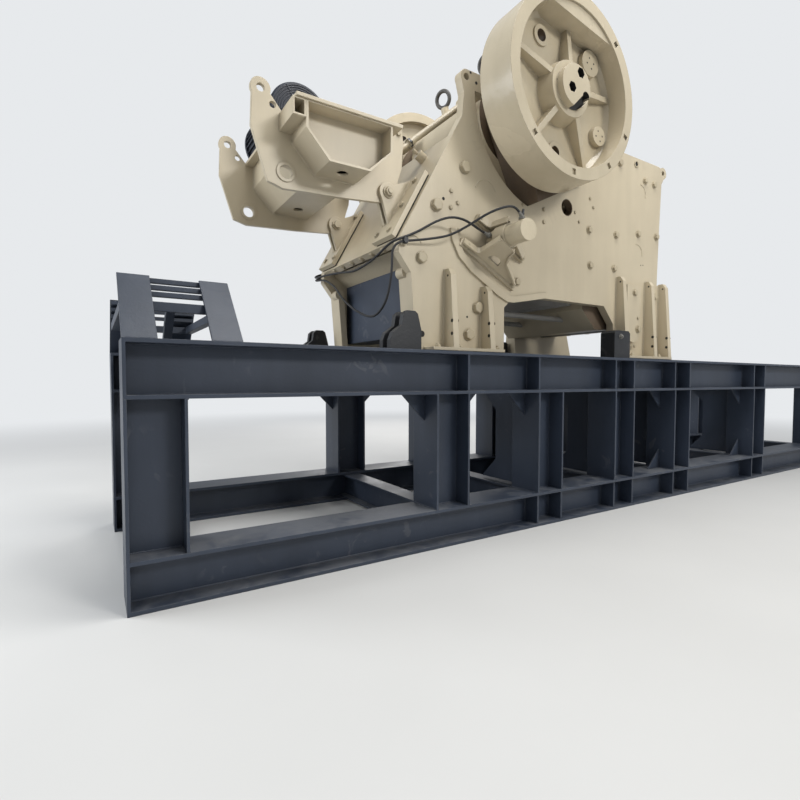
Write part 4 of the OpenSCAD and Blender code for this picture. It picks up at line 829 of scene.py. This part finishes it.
inner = [port(170, 135, 150.3), port(168, 135, 175), (-800, -1087, 1196), (-870, -1092, 1216),
         (-960, -1100, 1245), (-1110, -1120, 1270), (-1250, -1100, 1268), (-1400, -1060, 1208),
         (-1560, -1030, 1108), (-1700, -1003, 1036)]
inner_rear = [(-1745, -1000, 1020), (-1779, -994, 1005), (-1816, -971, 985), (-1839, -934, 968),
              (-1845, -880, 950), (-1842, -720, 910), (-1832, -510, 873), (-1830, -150, 850),
              (-1830, 200, 895), (-1838, 575, 930), (-1845, 880, 950), (-1839, 934, 968),
              (-1816, 971, 985), (-1779, 994, 1005), (-1745, 1000, 1020)]
outer = [port(90, 470, 150.3), (-612, -1422, 1326), (-636, -1424, 1349), (-668, -1427, 1368),
         (-712, -1430, 1377), (-765, -1426, 1372), (-870, -1400, 1336), (-970, -1320, 1284),
         (-1090, -1200, 1190), (-1250, -1100, 1094), (-1450, -1040, 1042), (-1650, -1003, 1004)]
outer_rear = [(-1735, -997, 988), (-1773, -991, 979), (-1806, -984, 956), (-1828, -976, 922),
              (-1836, -968, 880), (-1836, -960, 700), (-1836, -860, 440), (-1836, -620, 310),
              (-1836, -290, 380), (-1836, 80, 560), (-1836, 350, 760), (-1836, 640, 880),
              (-1838, 880, 915), (-1831, 934, 928), (-1806, 971, 945), (-1770, 991, 962),
              (-1735, 997, 975)]


def through(knots):
    """A smooth curve through all the knots, in eighths of the way from each to the next."""
    ends = [knots[0]] + knots + [knots[-1]]
    curve = []
    for a, b, c, d in zip(ends, ends[1:], ends[2:], ends[3:]):
        for k in range(8):
            t = k / 8
            curve.append(0.5 * (2 * b + (c - a) * t + (2 * a - 5 * b + 4 * c - d) * t * t
                                + (3 * b - a - 3 * c + d) * t * t * t))
    return curve + [knots[-1]]


def evenly(curve, step):
    """The same curve in even steps."""
    walked, route = 0.0, [curve[0]]
    for a, b in zip(curve, curve[1:]):
        span = (b - a).length
        while span and walked + span > step * len(route):
            route.append(a.lerp(b, (step * len(route) - walked) / span))
        walked += span
    route[-1] = curve[-1]
    return route


leaving = {}
for name, near, rear in (("inner_hose", inner, inner_rear), ("outer_hose", outer, outer_rear)):
    knots = [Vector(on_crusher(*p)) for p in near + rear + [(x, -y, z) for x, y, z in reversed(near)]]
    route = evenly(through(knots), HOSE_STEP)
    for _ in range(HOSE_EASES):
        route[1:-1] = [(a + 2 * b + c) / 4 for a, b, c in zip(route, route[1:], route[2:])]
    leaving[name] = (route[4] - route[0]).normalized()
    line = bpy.data.curves.new(name, "CURVE")
    line.dimensions = "3D"
    line.bevel_depth, line.bevel_resolution, line.use_fill_caps = HOSE_RADIUS, 4, True
    spline = line.splines.new("POLY")
    spline.points.add(len(route) - 1)
    for point, place in zip(spline.points, route):
        point.co = (*place, 1)
    line.materials.append(black_rubber)
    hose = bpy.data.objects.new(name, line)
    scene.collection.objects.link(hose)
    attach(hose, "frame")
    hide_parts("hydraulic_hoses")
    length = sum((b - a).length for a, b in zip(route, route[1:]))


# Hose fittings: hexagonal union nuts, ball elbows and crimped sleeves in plated steel
# at the ports, a black capped test point on top, and a black clamp at the rear corner.
for side, word in SIDES:
    for angle, depth, title in PORTS:
        way = (math.cos(math.radians(angle)), 0, math.sin(math.radians(angle)))
        lean = leaving[title + "_hose"]
        lean = (lean.x, -side * lean.y, lean.z)
        x, y, z = port(angle, depth, 120)
        turned("union_nut_%s_%s" % (title, word),
               [(23.2, 0), (29, 0), (33, 4), (33, 26), (29, 30), (23.2, 30), (23.2, 0)],
               on_crusher(x, -side * y, z), way, plated_steel, sides=6)
        x, y, z = port(angle, depth, 150)
        turned("elbow_%s_%s" % (title, word),
               [(0, -23), (12, -20), (20, -12), (23, 0), (20, 12), (12, 20), (0, 23)],
               on_crusher(x, -side * y, z), way, plated_steel, sides=24)
        turned("hose_sleeve_%s_%s" % (title, word),
               [(0, 6), (19, 6), (19, 26), (16, 30), (16, 52), (14, 56), (0, 56)],
               on_crusher(x, -side * y, z), lean, plated_steel)
    turned("test_point_" + word, [(0, 0), (17, 0), (19, 3), (19, 22), (13, 27), (13, 60), (9, 66), (0, 66)],
           on_crusher(-583, side * 1420, 1316), (0.3, 0, 1), black_paint)
    turned("hose_clamp_" + word, [(0, 0), (30, 0), (34, 4), (34, 34), (30, 38), (0, 38)],
           on_crusher(-1705, side * 979, 1000), (0, side, 0), black_paint, sides=6)
